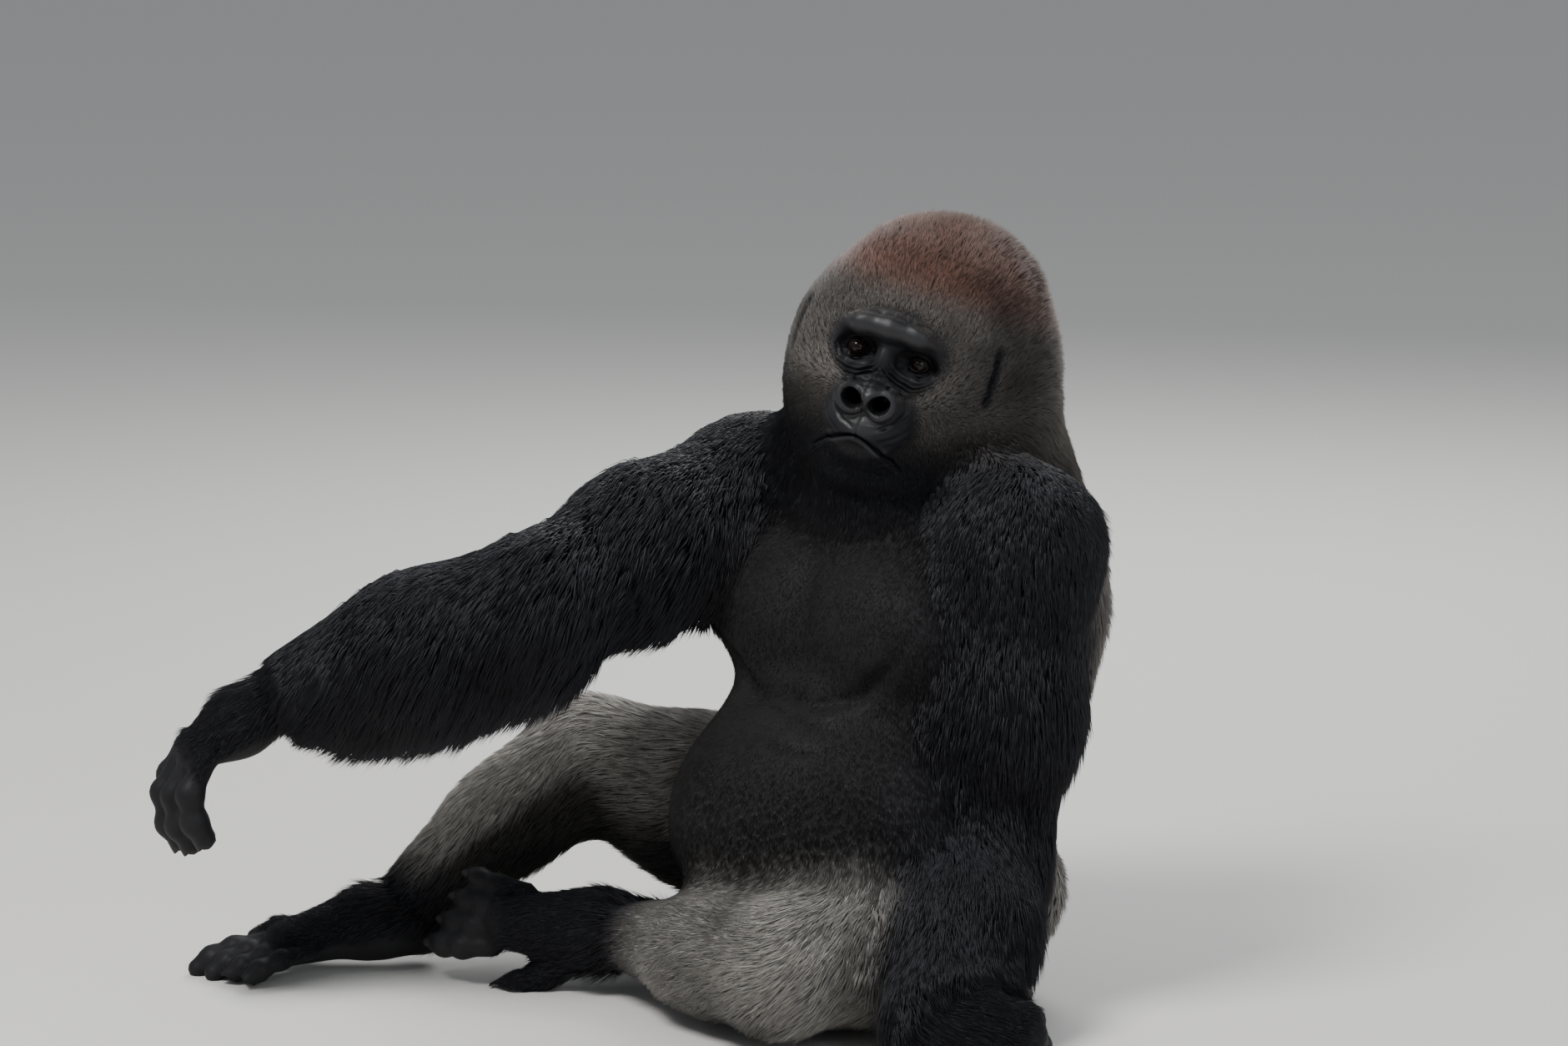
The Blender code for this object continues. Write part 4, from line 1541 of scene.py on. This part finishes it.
@dataclass(frozen=True)
class CoatFinish:
    """Hair: coloured by its markings, with a soft shine along it."""

    name: str = "gorilla_coat"
    roughness: float = 0.58
    specular: float = 0.22

    def build(self) -> bpy.types.Material:
        """Makes the material, once for every piece of the coat.

        Returns:
            The material.
        """
        if self.name in bpy.data.materials:
            return bpy.data.materials[self.name]
        material, graph, shader = new_material(self.name)
        marks = graph.node("ShaderNodeAttribute", {"attribute_name": "markings"})
        graph.tree.links.new(marks.outputs["Color"], shader.inputs["Base Color"])
        shader.inputs["Roughness"].default_value = self.roughness
        shader.inputs["Specular IOR Level"].default_value = self.specular
        return material


@dataclass(frozen=True)
class NailFinish:
    """Dark horn with a fine grain."""

    name: str = "dark_horn"
    colour: tuple = (0.022, 0.020, 0.019, 1)
    roughness: float = 0.46
    specular: float = 0.18
    grain: float = 900.0
    relief: float = 0.0002

    def build(self) -> bpy.types.Material:
        """Makes the material, once for every nail.

        Returns:
            The material.
        """
        if self.name in bpy.data.materials:
            return bpy.data.materials[self.name]
        material, graph, shader = new_material(self.name)
        shader.inputs["Base Color"].default_value = self.colour
        shader.inputs["Roughness"].default_value = self.roughness
        shader.inputs["Specular IOR Level"].default_value = self.specular
        folds = graph.node("ShaderNodeGroup", {"node_tree": fine_folds()}, Scale=self.grain)
        bump = graph.node("ShaderNodeBump", Height=folds.outputs["Height"], Distance=self.relief,
                          Strength=0.4)
        graph.tree.links.new(bump.outputs[0], shader.inputs["Normal"])
        return material


@dataclass(frozen=True)
class EyeFinish:
    """A wet dark eye: pupil, red-brown iris, darker rim and dark brown white."""

    poles: tuple[Vector, Vector]
    name: str = "wet_eye"
    reach: float = 0.014
    streaks: float = 0.0006
    pupil: tuple = (0.002, 0.002, 0.002, 1)
    iris: tuple = (0.009, 0.0045, 0.003, 1)
    rings: tuple = ((0.44, (0.008, 0.004, 0.003, 1)), (0.53, (0.006, 0.004, 0.003, 1)),
                    (0.60, (0.012, 0.008, 0.007, 1)), (0.95, (0.008, 0.006, 0.005, 1)))
    roughness: float = 0.06
    specular: float = 0.24

    def build(self) -> bpy.types.Material:
        """Makes the material of both eyes.

        Returns:
            The material.
        """
        material, graph, shader = new_material(self.name)
        place = graph.node("ShaderNodeTexCoord").outputs["Object"]
        away = [graph.node("ShaderNodeVectorMath", {"operation": "DISTANCE"}, i0=place, i1=tuple(pole))
                .outputs["Value"] for pole in self.poles]
        streaks = graph.node("ShaderNodeTexNoise", Vector=place, Scale=900.0, Detail=2.0).outputs["Fac"]
        radial = graph.math("MINIMUM", *away)
        bend = graph.math("MULTIPLY", graph.math("SUBTRACT", streaks, 0.5), self.streaks)
        radial = graph.math("ADD", radial, bend)
        share = graph.math("MULTIPLY", radial, 1.0 / self.reach)
        blend = graph.node("ShaderNodeValToRGB", Fac=share)
        stops = blend.color_ramp.elements
        stops[0].position, stops[0].color = 0.20, self.pupil
        stops[1].position, stops[1].color = 0.26, self.iris
        for position, colour in self.rings:
            stops.new(position).color = colour
        graph.tree.links.new(blend.outputs["Color"], shader.inputs["Base Color"])
        shader.inputs["Roughness"].default_value = self.roughness
        shader.inputs["Specular IOR Level"].default_value = self.specular
        return material


# --- Eyes and nails ------------------------------------------------------------------------------
@dataclass
class Eyes:
    """Both eyeballs, looking almost straight ahead and a little down."""

    face: Face
    gaze: Vector = field(default_factory=lambda: Vector((0.04, -1.0, -0.05)).normalized())
    bulge: float = 0.0006

    def build(self) -> None:
        """Builds the two eyes in place of the solid ones."""
        radius = self.face.eye_radius
        rotate = HEAD.to_3x3()
        centres = {side: HEAD @ Vector((sign * self.face.spacing / 2, self.face.eye_depth, -0.001))
                   for side, sign in (("l", 1), ("r", -1))}
        gaze = rotate @ self.gaze
        finish = EyeFinish(tuple(centre + gaze * radius for centre in centres.values())).build()
        for side, centre in centres.items():
            deselect_all()
            bpy.ops.mesh.primitive_uv_sphere_add(segments=48, ring_count=32, radius=radius,
                                                 rotation=gaze.to_track_quat("Z", "Y").to_euler(),
                                                 location=centre)
            eye = bpy.context.object
            eye.name = eye.data.name = "eyeball_" + side
            bpy.ops.object.transform_apply(location=True, rotation=True, scale=True)
            for vert in eye.data.vertices:
                way = (vert.co - centre).normalized()
                vert.co += way * self.bulge * float(ramp(np.array([way.dot(gaze)]), 0.80, 0.93)[0])
            bpy.ops.object.shade_smooth()
            eye.data.materials.append(finish)
            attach(eye, "root")
            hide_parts("eye_" + side)
        LOG.info("eyes: 2 pieces")


@dataclass
class Nails:
    """Curved nails on the backs of the last bones of fingers and toes."""

    lowest: float = 0.004
    plate: float = 0.10
    size: float = 0.93
    proportions: tuple = (0.80, 0.85, 1.02)

    def one(self) -> bpy.types.Object:
        """Models one nail, two units long, lying on a round back along -Y.

        Returns:
            The nail that the others are copied from.
        """
        deselect_all()
        bpy.ops.mesh.primitive_grid_add(x_subdivisions=8, y_subdivisions=8, size=2)
        nail = bpy.context.object
        for vert in nail.data.vertices:
            x, y = vert.co.x, vert.co.y
            narrow = 0.80 - 0.12 * y * y
            angle = x * 0.95
            round_end = 1.0 - 0.22 * x * x if y < 0 else 1.0
            vert.co = Vector((math.sin(angle) * narrow, y * round_end * 0.9,
                              math.cos(angle) - 0.10 * (y + 1.0) ** 2 * 0.25))
        solid = nail.modifiers.new("Plate", "SOLIDIFY")
        solid.thickness, solid.offset = self.plate, -1.0
        bpy.ops.object.modifier_apply(modifier=solid.name)
        soft = nail.modifiers.new("Soft", "SUBSURF")
        soft.levels = soft.render_levels = 1
        bpy.ops.object.modifier_apply(modifier=soft.name)
        return nail

    def copies(self, pattern: bpy.types.Object, extremity: Extremity) -> list[bpy.types.Object]:
        """Lays a copy of the nail on each digit of a hand or foot whose tip is off the floor.

        Args:
            pattern: The nail.
            extremity: The hand or foot.

        Returns:
            The copies.
        """
        copies, place = [], extremity.place()
        for digit in extremity.digits:
            point, way, back = digit.tip()
            if (place @ point).z - digit.radius < self.lowest:
                continue
            size = digit.radius * self.size
            side = back.cross(way) * -1.0
            turn = Matrix((side, -way, back)).transposed().to_4x4()
            matrix = place @ Matrix.Translation(point - way * size * 0.15) @ turn
            scale = Matrix.Diagonal([size * share for share in self.proportions] + [1.0])
            copy = bpy.data.objects.new("nail", pattern.data.copy())
            bpy.context.scene.collection.objects.link(copy)
            copy.data.transform(matrix @ scale)
            copies.append(copy)
        return copies

    def build(self) -> None:
        """Builds the nails of each hand and foot as one piece."""
        pattern, pieces = self.one(), 0
        for part, extremity in EXTREMITIES.items():
            copies = self.copies(pattern, extremity)
            if not copies:
                continue
            deselect_all()
            for copy in copies:
                copy.select_set(True)
            bpy.context.view_layer.objects.active = copies[0]
            bpy.ops.object.join()
            piece = bpy.context.object
            piece.name = piece.data.name = "nails_" + part.value
            bpy.ops.object.mode_set(mode="EDIT")
            bpy.ops.mesh.select_all(action="SELECT")
            bpy.ops.mesh.normals_make_consistent(inside=False)
            bpy.ops.object.mode_set(mode="OBJECT")
            bpy.ops.object.shade_smooth()
            piece.data.materials.append(NailFinish().build())
            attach(piece, "root")
            pieces += 1
        bpy.data.objects.remove(pattern)
        LOG.info("nails: %d pieces", pieces)


# --- The coat ------------------------------------------------------------------------------------
class Zone(Enum):
    """Which side of its parts a piece of the coat covers."""

    ALL = "all"
    FRONT = "front"
    BACK = "back"
    CROWN = "crown"
    CHEEKS = "cheeks"


@dataclass(frozen=True)
class Patch:
    """One piece of the coat: its parts and side, its number of tufts, and how often they bend."""

    name: str
    parts: tuple[Part, ...]
    zone: Zone
    tufts: int
    bends: int = 0


@dataclass
class Coat:
    """Thousands of thin solid tufts, rooted in the skin and following its lie."""

    skin: SkinData
    patches: tuple[Patch, ...] = (
        Patch("coat_crown", (Part.HEAD,), Zone.CROWN, 46000),
        Patch("coat_cheeks", (Part.HEAD,), Zone.CHEEKS, 45000),
        Patch("coat_neck", (Part.NECK,), Zone.ALL, 19000),
        Patch("coat_back", (Part.TRUNK,), Zone.BACK, 38000),
        Patch("coat_front", (Part.TRUNK,), Zone.FRONT, 47000),
        Patch("coat_upper_arm_l", (Part.UPPER_ARM_L,), Zone.ALL, 17000, 1),
        Patch("coat_upper_arm_r", (Part.UPPER_ARM_R,), Zone.ALL, 19500, 1),
        Patch("coat_forearm_l", (Part.FOREARM_L,), Zone.ALL, 17000, 1),
        Patch("coat_forearm_r", (Part.FOREARM_R,), Zone.ALL, 19500, 1),
        Patch("coat_leg_l", (Part.THIGH_L, Part.SHANK_L), Zone.ALL, 28000),
        Patch("coat_leg_r", (Part.THIGH_R, Part.SHANK_R), Zone.ALL, 27000),
        Patch("coat_hands_feet", tuple(EXTREMITIES), Zone.ALL, 13000),
    )
    sunk: float = 0.0012
    floor_gap: float = 0.0012
    clump: int = 14
    gathering: float = 0.34
    sways: tuple = (10.0, 6.0, 9.0)
    stray_lift: float = 5.0
    crown_lift: float = 14.0
    stretches: tuple = ((1.0,), (0.42, 0.58))
    slopes: tuple = ((0.62,), (1.0, 0.38))
    first_seed: int = 100
    surface: BVHTree = field(init=False)

    def __post_init__(self) -> None:
        """Keeps the skin's surface at hand, to measure from."""
        self.surface = BVHTree.FromPolygons(self.skin.points.tolist(), self.skin.triangles.tolist())

    def inside(self, patch: Patch) -> np.ndarray:
        """Which of the skin's triangles a patch covers.

        Args:
            patch: The piece of the coat.

        Returns:
            Whether each triangle is covered.
        """
        first = self.skin.triangles[:, 0]
        labels = self.skin.labels[first]
        chosen = np.isin(labels, [PARTS.index(part) for part in patch.parts])
        if patch.zone in (Zone.FRONT, Zone.BACK):
            back = self.skin.normals[first, 1] > 0.0
            chosen &= back if patch.zone is Zone.BACK else ~back
        if patch.zone in (Zone.CROWN, Zone.CHEEKS):
            local = in_head(self.skin.points[first])
            crown = local[:, 2] + 0.10 * local[:, 1] > 0.045
            chosen &= crown if patch.zone is Zone.CROWN else ~crown
        return chosen

    def roots(self, patch: Patch, rng: np.random.Generator) -> tuple[np.ndarray, np.ndarray]:
        """Draws where a patch's tufts stand.

        Args:
            patch: The piece of the coat.
            rng: Its own repeatable source of chance.

        Returns:
            The triangle of each tuft, and its place in that triangle.
        """
        rows = self.skin.triangles
        corners = self.skin.points[rows]
        area = np.linalg.norm(np.cross(corners[:, 1] - corners[:, 0], corners[:, 2] - corners[:, 0]), axis=1)
        haired = (1.0 - self.skin.bare)[rows].mean(axis=1)
        haired = np.where(haired > 0.04, haired, 0.0) ** 0.7
        lifted = ramp(corners[:, :, 2].mean(axis=1), 0.004, 0.012)
        length = self.lengths(self.skin.points, self.skin.normals, self.skin.weights, self.skin.bare)
        close = 0.020 / np.clip(length, 0.008, 0.060)[rows].mean(axis=1)
        open_slit = 0.10 + 0.90 * ramp(Face().slit(in_head(corners.mean(axis=1))), 0.0030, 0.0080)
        share = area * haired * lifted * close * open_slit * self.inside(patch)
        share /= share.sum()
        chosen = rng.choice(len(rows), patch.tufts, p=share)
        place = rng.random((patch.tufts, 2))
        over = place.sum(axis=1) > 1.0
        place[over] = 1.0 - place[over]
        return chosen, np.column_stack([1.0 - place.sum(axis=1), place])

    def lengths(self, points: np.ndarray, normals: np.ndarray, weights: np.ndarray,
                bare: np.ndarray) -> np.ndarray:
        """How long the hair is at each root.

        Args:
            points: The roots.
            normals: The skin's normals there.
            weights: How far each point belongs to each part.
            bare: How bare the skin is there.

        Returns:
            A length for each root.
        """
        local = in_head(points)
        total = np.zeros(len(points))
        for part in PARTS:
            length, past = np.full(len(points), pelt_of(part).length), BONES[part].past(points)
            if part is Part.HEAD:
                length = 0.009 + 0.012 * ramp(local[:, 1], 0.02, 0.20) + 0.003 * ramp(local[:, 2], 0.07, 0.13)
                length += 0.006 * ramp(local[:, 2], -0.02, -0.10) * ramp(local[:, 1], 0.04, 0.10)
            if part is Part.TRUNK:
                length = 0.014 + 0.013 * ramp(normals[:, 1], -0.2, 0.3)
                length += 0.010 * ramp(np.abs(points[:, 0]), 0.14, 0.24)
            if part.value.startswith("forearm"):
                length = length * (1.0 - 0.30 * ramp(normals[:, 2], 0.2, 0.9))
                length = length * (1.0 - 0.30 * ramp(past, FOREARM * 0.70, FOREARM * 0.98))
            if part.value.startswith("upper_arm"):
                length = length * (0.60 + 0.40 * ramp(past, -0.02, HUMERUS * 0.5))
            if part in EXTREMITIES:
                length = length + 0.020 * ramp(past, 0.075, 0.010)
            total += share_of(weights, part) * length
        return total * (1.0 - 0.62 * np.clip(bare * 1.5, 0, 1))

    def unwrap(self, patch: Patch, points: np.ndarray, labels: np.ndarray) -> np.ndarray:
        """Each root's place on an unrolling of the skin's own shape.

        Args:
            patch: The piece of the coat.
            points: The roots.
            labels: The part that each root stands on.

        Returns:
            A place from 0 to 1, two ways.
        """
        if Part.HEAD in patch.parts:
            local = in_head(points) - np.array((0, 0.12, 0))
            radius = np.linalg.norm(local, axis=1)
            return np.column_stack([np.arctan2(local[:, 0], -local[:, 1]) / (2 * np.pi) + 0.5,
                                    np.arccos(np.clip(local[:, 2] / radius, -1, 1)) / np.pi])
        place = np.zeros((len(points), 2))
        count = len(patch.parts)
        for slot, part in enumerate(patch.parts):
            bone = BONES[part]
            mine = labels == PARTS.index(part)
            past, across = bone.split(points[mine])
            first = np.array(bone.along().orthogonal().normalized())
            second = np.cross(np.array(bone.along()), first)
            turn = np.arctan2(across @ second, across @ first) / (2 * np.pi) + 0.5
            reach = np.clip((past / (bone.end - bone.start).length + 0.4) / 2.0, 0.0, 1.0)
            place[mine] = np.column_stack([(slot + 0.01 + 0.98 * turn) / count, reach])
        return np.clip(place, 0.004, 0.993)

    def spread(self, values: np.ndarray, rows: np.ndarray, place: np.ndarray) -> np.ndarray:
        """Reads a value of the skin at each root.

        Args:
            values: One value or row for each of the skin's vertices.
            rows: The vertices of each root's triangle.
            place: Each root's place in its triangle.

        Returns:
            One value or row for each root.
        """
        if values.ndim == 1:
            return (values[rows] * place).sum(axis=1)
        return (values[rows] * place[:, :, None]).sum(axis=1)

    def leaning(self, points: np.ndarray, normals: np.ndarray, weights: np.ndarray, lie: np.ndarray,
                rng: np.random.Generator) -> tuple[np.ndarray, np.ndarray, np.ndarray]:
        """Draws how each tuft leaves the skin.

        Args:
            points: The roots.
            normals: The skin's normals there.
            weights: How far each point belongs to each part.
            lie: The way the hair lies there.
            rng: The piece's own source of chance.

        Returns:
            Each tuft's direction along the skin, its lift in radians and its droop.
        """
        broad, fine, stray = self.sways
        sway = np.radians(broad * waves(points, 0.045, 21) + fine * waves(points, 0.016, 22)
                          + rng.normal(0, stray, len(points)))
        sides = np.cross(normals, lie)
        way = unit(lie * np.cos(sway)[:, None] + sides * np.sin(sway)[:, None])
        lift = np.radians(grown(weights, "lift") * (1.0 + 0.25 * waves(points, 0.03, 23))
                          + rng.normal(0, self.stray_lift, len(points)))
        droop = grown(weights, "droop")
        for part in (Part.FOREARM_L, Part.FOREARM_R):
            near_wrist = ramp(BONES[part].past(points), FOREARM * 0.66, FOREARM * 0.95)
            hugging = share_of(weights, part) * near_wrist
            droop *= 1.0 - 0.80 * hugging
            lift *= 1.0 - 0.45 * hugging
        above = ramp(in_head(points)[:, 2], 0.07, 0.13) * share_of(weights, Part.HEAD)
        return way, lift + np.radians(self.crown_lift) * above, droop

    def centre_lines(self, patch: Patch, rng: np.random.Generator) -> dict[str, np.ndarray]:
        """Works out where each tuft runs.

        Args:
            patch: The piece of the coat.
            rng: Its own repeatable source of chance.

        Returns:
            Roots, ends of each stretch, widths, normals, shades, colours and places on the unwrap.
        """
        chosen, place = self.roots(patch, rng)
        rows, skin = self.skin.triangles[chosen], self.skin
        points, normals, weights, bare, lie = [
            self.spread(values, rows, place)
            for values in (skin.points, skin.normals, skin.weights, skin.bare, skin.lie)]
        normals = unit(normals)
        way, lift, droop = self.leaning(points, normals, weights, lie, rng)
        width = grown(weights, "width") * rng.uniform(0.7, 1.25, len(points))
        front = share_of(weights, Part.TRUNK) * ramp(-normals[:, 1], 0.0, 0.4)
        width *= (1.0 - 0.5 * np.clip(bare * 1.5, 0, 1)) * (1.0 - 0.30 * front)
        length = self.lengths(points, normals, weights, bare) * rng.uniform(0.70, 1.22, len(points))
        line, ends = points - normals * self.sunk, []
        for share, slope in zip(self.stretches[patch.bends], self.slopes[patch.bends]):
            step = way * np.cos(lift * slope)[:, None] + normals * np.sin(lift * slope)[:, None]
            step = unit(step - np.outer(droop * (1.3 - slope) * 0.8, (0, 0, 1)))
            line = line + step * (length * share)[:, None]
            ends.append(line)
        self.gather(points, ends, ramp(bare, 0.35, 0.08), rng)
        for end in ends:
            self.lift(end, 0.0010 + 0.11 * length)
            end[:, 2] = np.maximum(end[:, 2], self.floor_gap)
        colours = Markings().coat(points, normals, weights)
        colours = colours * rng.uniform(0.72, 1.28, len(points))[:, None]
        pale = 1.20 + rng.uniform(0.2, 1.3, len(points)) * (rng.random(len(points)) < 0.50)
        # base: painted shade at each tuft's root, deep in the coat, lighter on the front of the trunk.
        return {"pale": pale, "base": 0.52 + 0.40 * front, "roots": points - normals * self.sunk,
                "ends": np.array(ends), "width": width, "normals": normals, "colours": colours,
                "place": self.unwrap(patch, points, skin.labels[rows[:, 0]])}

    def lift(self, ends: np.ndarray, least: np.ndarray) -> None:
        """Moves tufts' ends out of the skin until they stand at least so far above it.

        Args:
            ends: The ends, moved in place.
            least: How far above the skin each one has to be.
        """
        for number, end in enumerate(ends):
            near, normal, _, _ = self.surface.find_nearest(Vector(end))
            short = least[number] - (Vector(end) - near).dot(normal)
            if short > 0.0:
                ends[number] += np.array(normal) * short

    def gather(self, points: np.ndarray, ends: list[np.ndarray], share: np.ndarray,
               rng: np.random.Generator) -> None:
        """Draws the ends of neighbouring tufts together into locks, by each tuft's share.

        Args:
            points: The roots.
            ends: The ends of each stretch, moved in place.
            share: How far each tuft follows.
            rng: The piece's own source of chance.
        """
        centres = rng.choice(len(points), max(len(points) // self.clump, 1), replace=False)
        tree = KDTree(len(centres))
        for number, index in enumerate(centres):
            tree.insert(Vector(points[index]), number)
        tree.balance()
        mine = centres[[tree.find(Vector(point))[1] for point in points]]
        for number, end in enumerate(ends):
            pull = self.gathering * ((number + 1) / len(ends)) ** 1.5 * share[:, None]
            end += pull * (end[mine] - end)

    def build_patch(self, patch: Patch, seed: int) -> bpy.types.Object:
        """Builds one piece of the coat.

        Args:
            patch: The piece.
            seed: Its source of chance.

        Returns:
            The finished piece.
        """
        lines = self.centre_lines(patch, np.random.default_rng(seed))
        roots, ends, width = lines["roots"], lines["ends"], lines["width"]
        count, bends = len(roots), patch.bends
        axis = unit(ends[0] - roots)
        side = unit(np.cross(axis, lines["normals"]))
        top = np.cross(side, axis)
        half = (width * 0.5)[:, None]
        ring = ends[0] if bends else roots
        corners = [ring + half * (side * across + top * up)
                   for across, up in ((1.0, -0.30), (0.0, 0.75), (-1.0, -0.30))]
        rows = [roots, *corners, ends[-1]] if bends else [*corners, ends[-1]]
        verts = np.stack(rows, axis=1)
        stride, first = verts.shape[1], bends
        pattern = [(first + edge, first + (edge + 1) % 3, stride - 1) for edge in range(3)]
        if bends:
            pattern += [(0, 1 + (edge + 1) % 3, 1 + edge) for edge in range(3)]
            shade, across, upward = (0.35, 0.95, 0.95, 0.95, 1.0), (0, -1, 0, 1, 0), (0, 1, 1, 1, 2)
        else:
            pattern += [(2, 1, 0)]
            shade, across, upward = (1.0, 1.0, 1.0, 1.0), (-1, 0, 1, 0), (0, 0, 0, 2)
        faces = (np.array(pattern)[None] + (np.arange(count) * stride)[:, None, None]).reshape(-1, 3)
        # Painted shade: each tuft darkens towards its root; the tips are made paler, half of them more so.
        tint = lines["colours"][:, None, :] * np.array(shade)[None, :, None]
        tint[:, -1] *= lines["pale"][:, None]
        if not bends:
            tint[:, :-1] *= lines["base"][:, None, None]
        patchwork = np.column_stack([across, upward]) * 0.0014
        places = lines["place"][:, None, :] + patchwork[None]
        return self.mesh(patch.name, verts.reshape(-1, 3), faces, tint.reshape(-1, 3), places.reshape(-1, 2))

    def mesh(self, name: str, verts: np.ndarray, faces: np.ndarray, colours: np.ndarray,
             places: np.ndarray) -> bpy.types.Object:
        """Makes the piece from its vertices, triangles, colours and unwrap.

        Args:
            name: Its name.
            verts: Its vertices.
            faces: Its triangles.
            colours: A colour for each vertex.
            places: The unwrap of each vertex.

        Returns:
            The finished piece.
        """
        mesh = bpy.data.meshes.new(name)
        mesh.vertices.add(len(verts))
        mesh.vertices.foreach_set("co", verts.ravel())
        mesh.loops.add(faces.size)
        mesh.loops.foreach_set("vertex_index", faces.ravel().astype(np.int32))
        mesh.polygons.add(len(faces))
        mesh.polygons.foreach_set("loop_start", np.arange(len(faces), dtype=np.int32) * 3)
        mesh.polygons.foreach_set("use_smooth", np.ones(len(faces), dtype=bool))
        unwrap = mesh.uv_layers.new(name="OFBake")
        unwrap.data.foreach_set("uv", places[faces.ravel()].ravel())
        mesh.update(calc_edges=True)
        write_colours(mesh, colours, np.zeros(len(colours)))
        piece = bpy.data.objects.new(name, mesh)
        bpy.context.scene.collection.objects.link(piece)
        mesh.materials.append(CoatFinish().build())
        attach(piece, "root")
        LOG.info("%s: %d triangles", name, len(faces))
        return piece

    def build(self) -> None:
        """Builds every piece of the coat."""
        for number, patch in enumerate(self.patches):
            self.build_patch(patch, self.first_seed + number)


# --- Studio --------------------------------------------------------------------------------------
@dataclass(frozen=True)
class Lamp:
    """A soft square light: its place, size, strength and warmth, aimed at the chest."""

    name: str
    place: tuple
    size: float
    power: float
    colour: tuple


@dataclass
class Studio:
    """A pale floor, soft lights and the camera."""

    lamps: tuple[Lamp, ...] = (
        Lamp("key", (0.2, -3.4, 4.6), 1.8, 320.0, (1.0, 0.99, 0.97)),
        Lamp("fill", (4.4, -1.0, 2.2), 2.6, 55.0, (0.94, 0.97, 1.0)),
        Lamp("rim", (-2.0, 3.0, 3.6), 2.6, 170.0, (1.0, 1.0, 1.0)),
    )
    target: Vector = field(default_factory=lambda: Vector((0, -0.1, 0.5)))
    floor: tuple = (0.62, 0.61, 0.59, 1)
    sky: tuple = (0.85, 0.88, 0.92, 1)
    sky_strength: float = 0.45
    turn: float = 46.0
    tilt: float = 9.5
    shift: float = -0.143
    distance: float = 6.0
    height: float = 1.59
    lens: float = 112.6

    def build(self) -> None:
        """Builds floor, lights, world and camera."""
        deselect_all()
        bpy.ops.mesh.primitive_plane_add(size=60, location=(0, 0, 0))
        floor = bpy.context.object
        floor.name = "floor"
        material, _, shader = new_material("pale_floor")
        shader.inputs["Base Color"].default_value = self.floor
        shader.inputs["Roughness"].default_value = 0.8
        floor.data.materials.append(material)
        for lamp in self.lamps:
            light = bpy.data.lights.new(lamp.name, "AREA")
            light.size, light.energy, light.color = lamp.size, lamp.power, lamp.colour
            holder = bpy.data.objects.new(lamp.name, light)
            holder.location = lamp.place
            way = self.target - Vector(lamp.place)
            holder.rotation_euler = way.to_track_quat("-Z", "Y").to_euler()
            bpy.context.scene.collection.objects.link(holder)
        world = bpy.data.worlds.new("soft_room")
        world.use_nodes = True
        background = world.node_tree.nodes["Background"]
        background.inputs["Color"].default_value = self.sky
        background.inputs["Strength"].default_value = self.sky_strength
        bpy.context.scene.world = world
        self.camera()

    def camera(self) -> None:
        """Sets the camera: six metres off, a little above the head, looking down."""
        turn, tilt = math.radians(self.turn), math.radians(self.tilt)
        right = Vector((math.cos(turn), math.sin(turn), 0))
        forward = Vector((-math.sin(turn), math.cos(turn), 0))
        camera = bpy.data.cameras.new("camera")
        camera.lens, camera.sensor_width = self.lens, 36.0
        holder = bpy.data.objects.new("camera", camera)
        holder.location = right * self.shift - forward * self.distance + UP * self.height
        way = forward * math.cos(tilt) - UP * math.sin(tilt)
        holder.rotation_euler = way.to_track_quat("-Z", "Y").to_euler()
        bpy.context.scene.collection.objects.link(holder)
        bpy.context.scene.camera = holder


def main() -> None:
    """Builds the gorilla's looks in order and notes its sizes."""
    logging.basicConfig(level=logging.INFO, format="%(message)s")
    face = Face()
    skin = Skin(face).build()
    Eyes(face).build()
    Nails().build()
    Coat(skin).build()
    Studio().build()


if __name__ == "__main__":
    main()
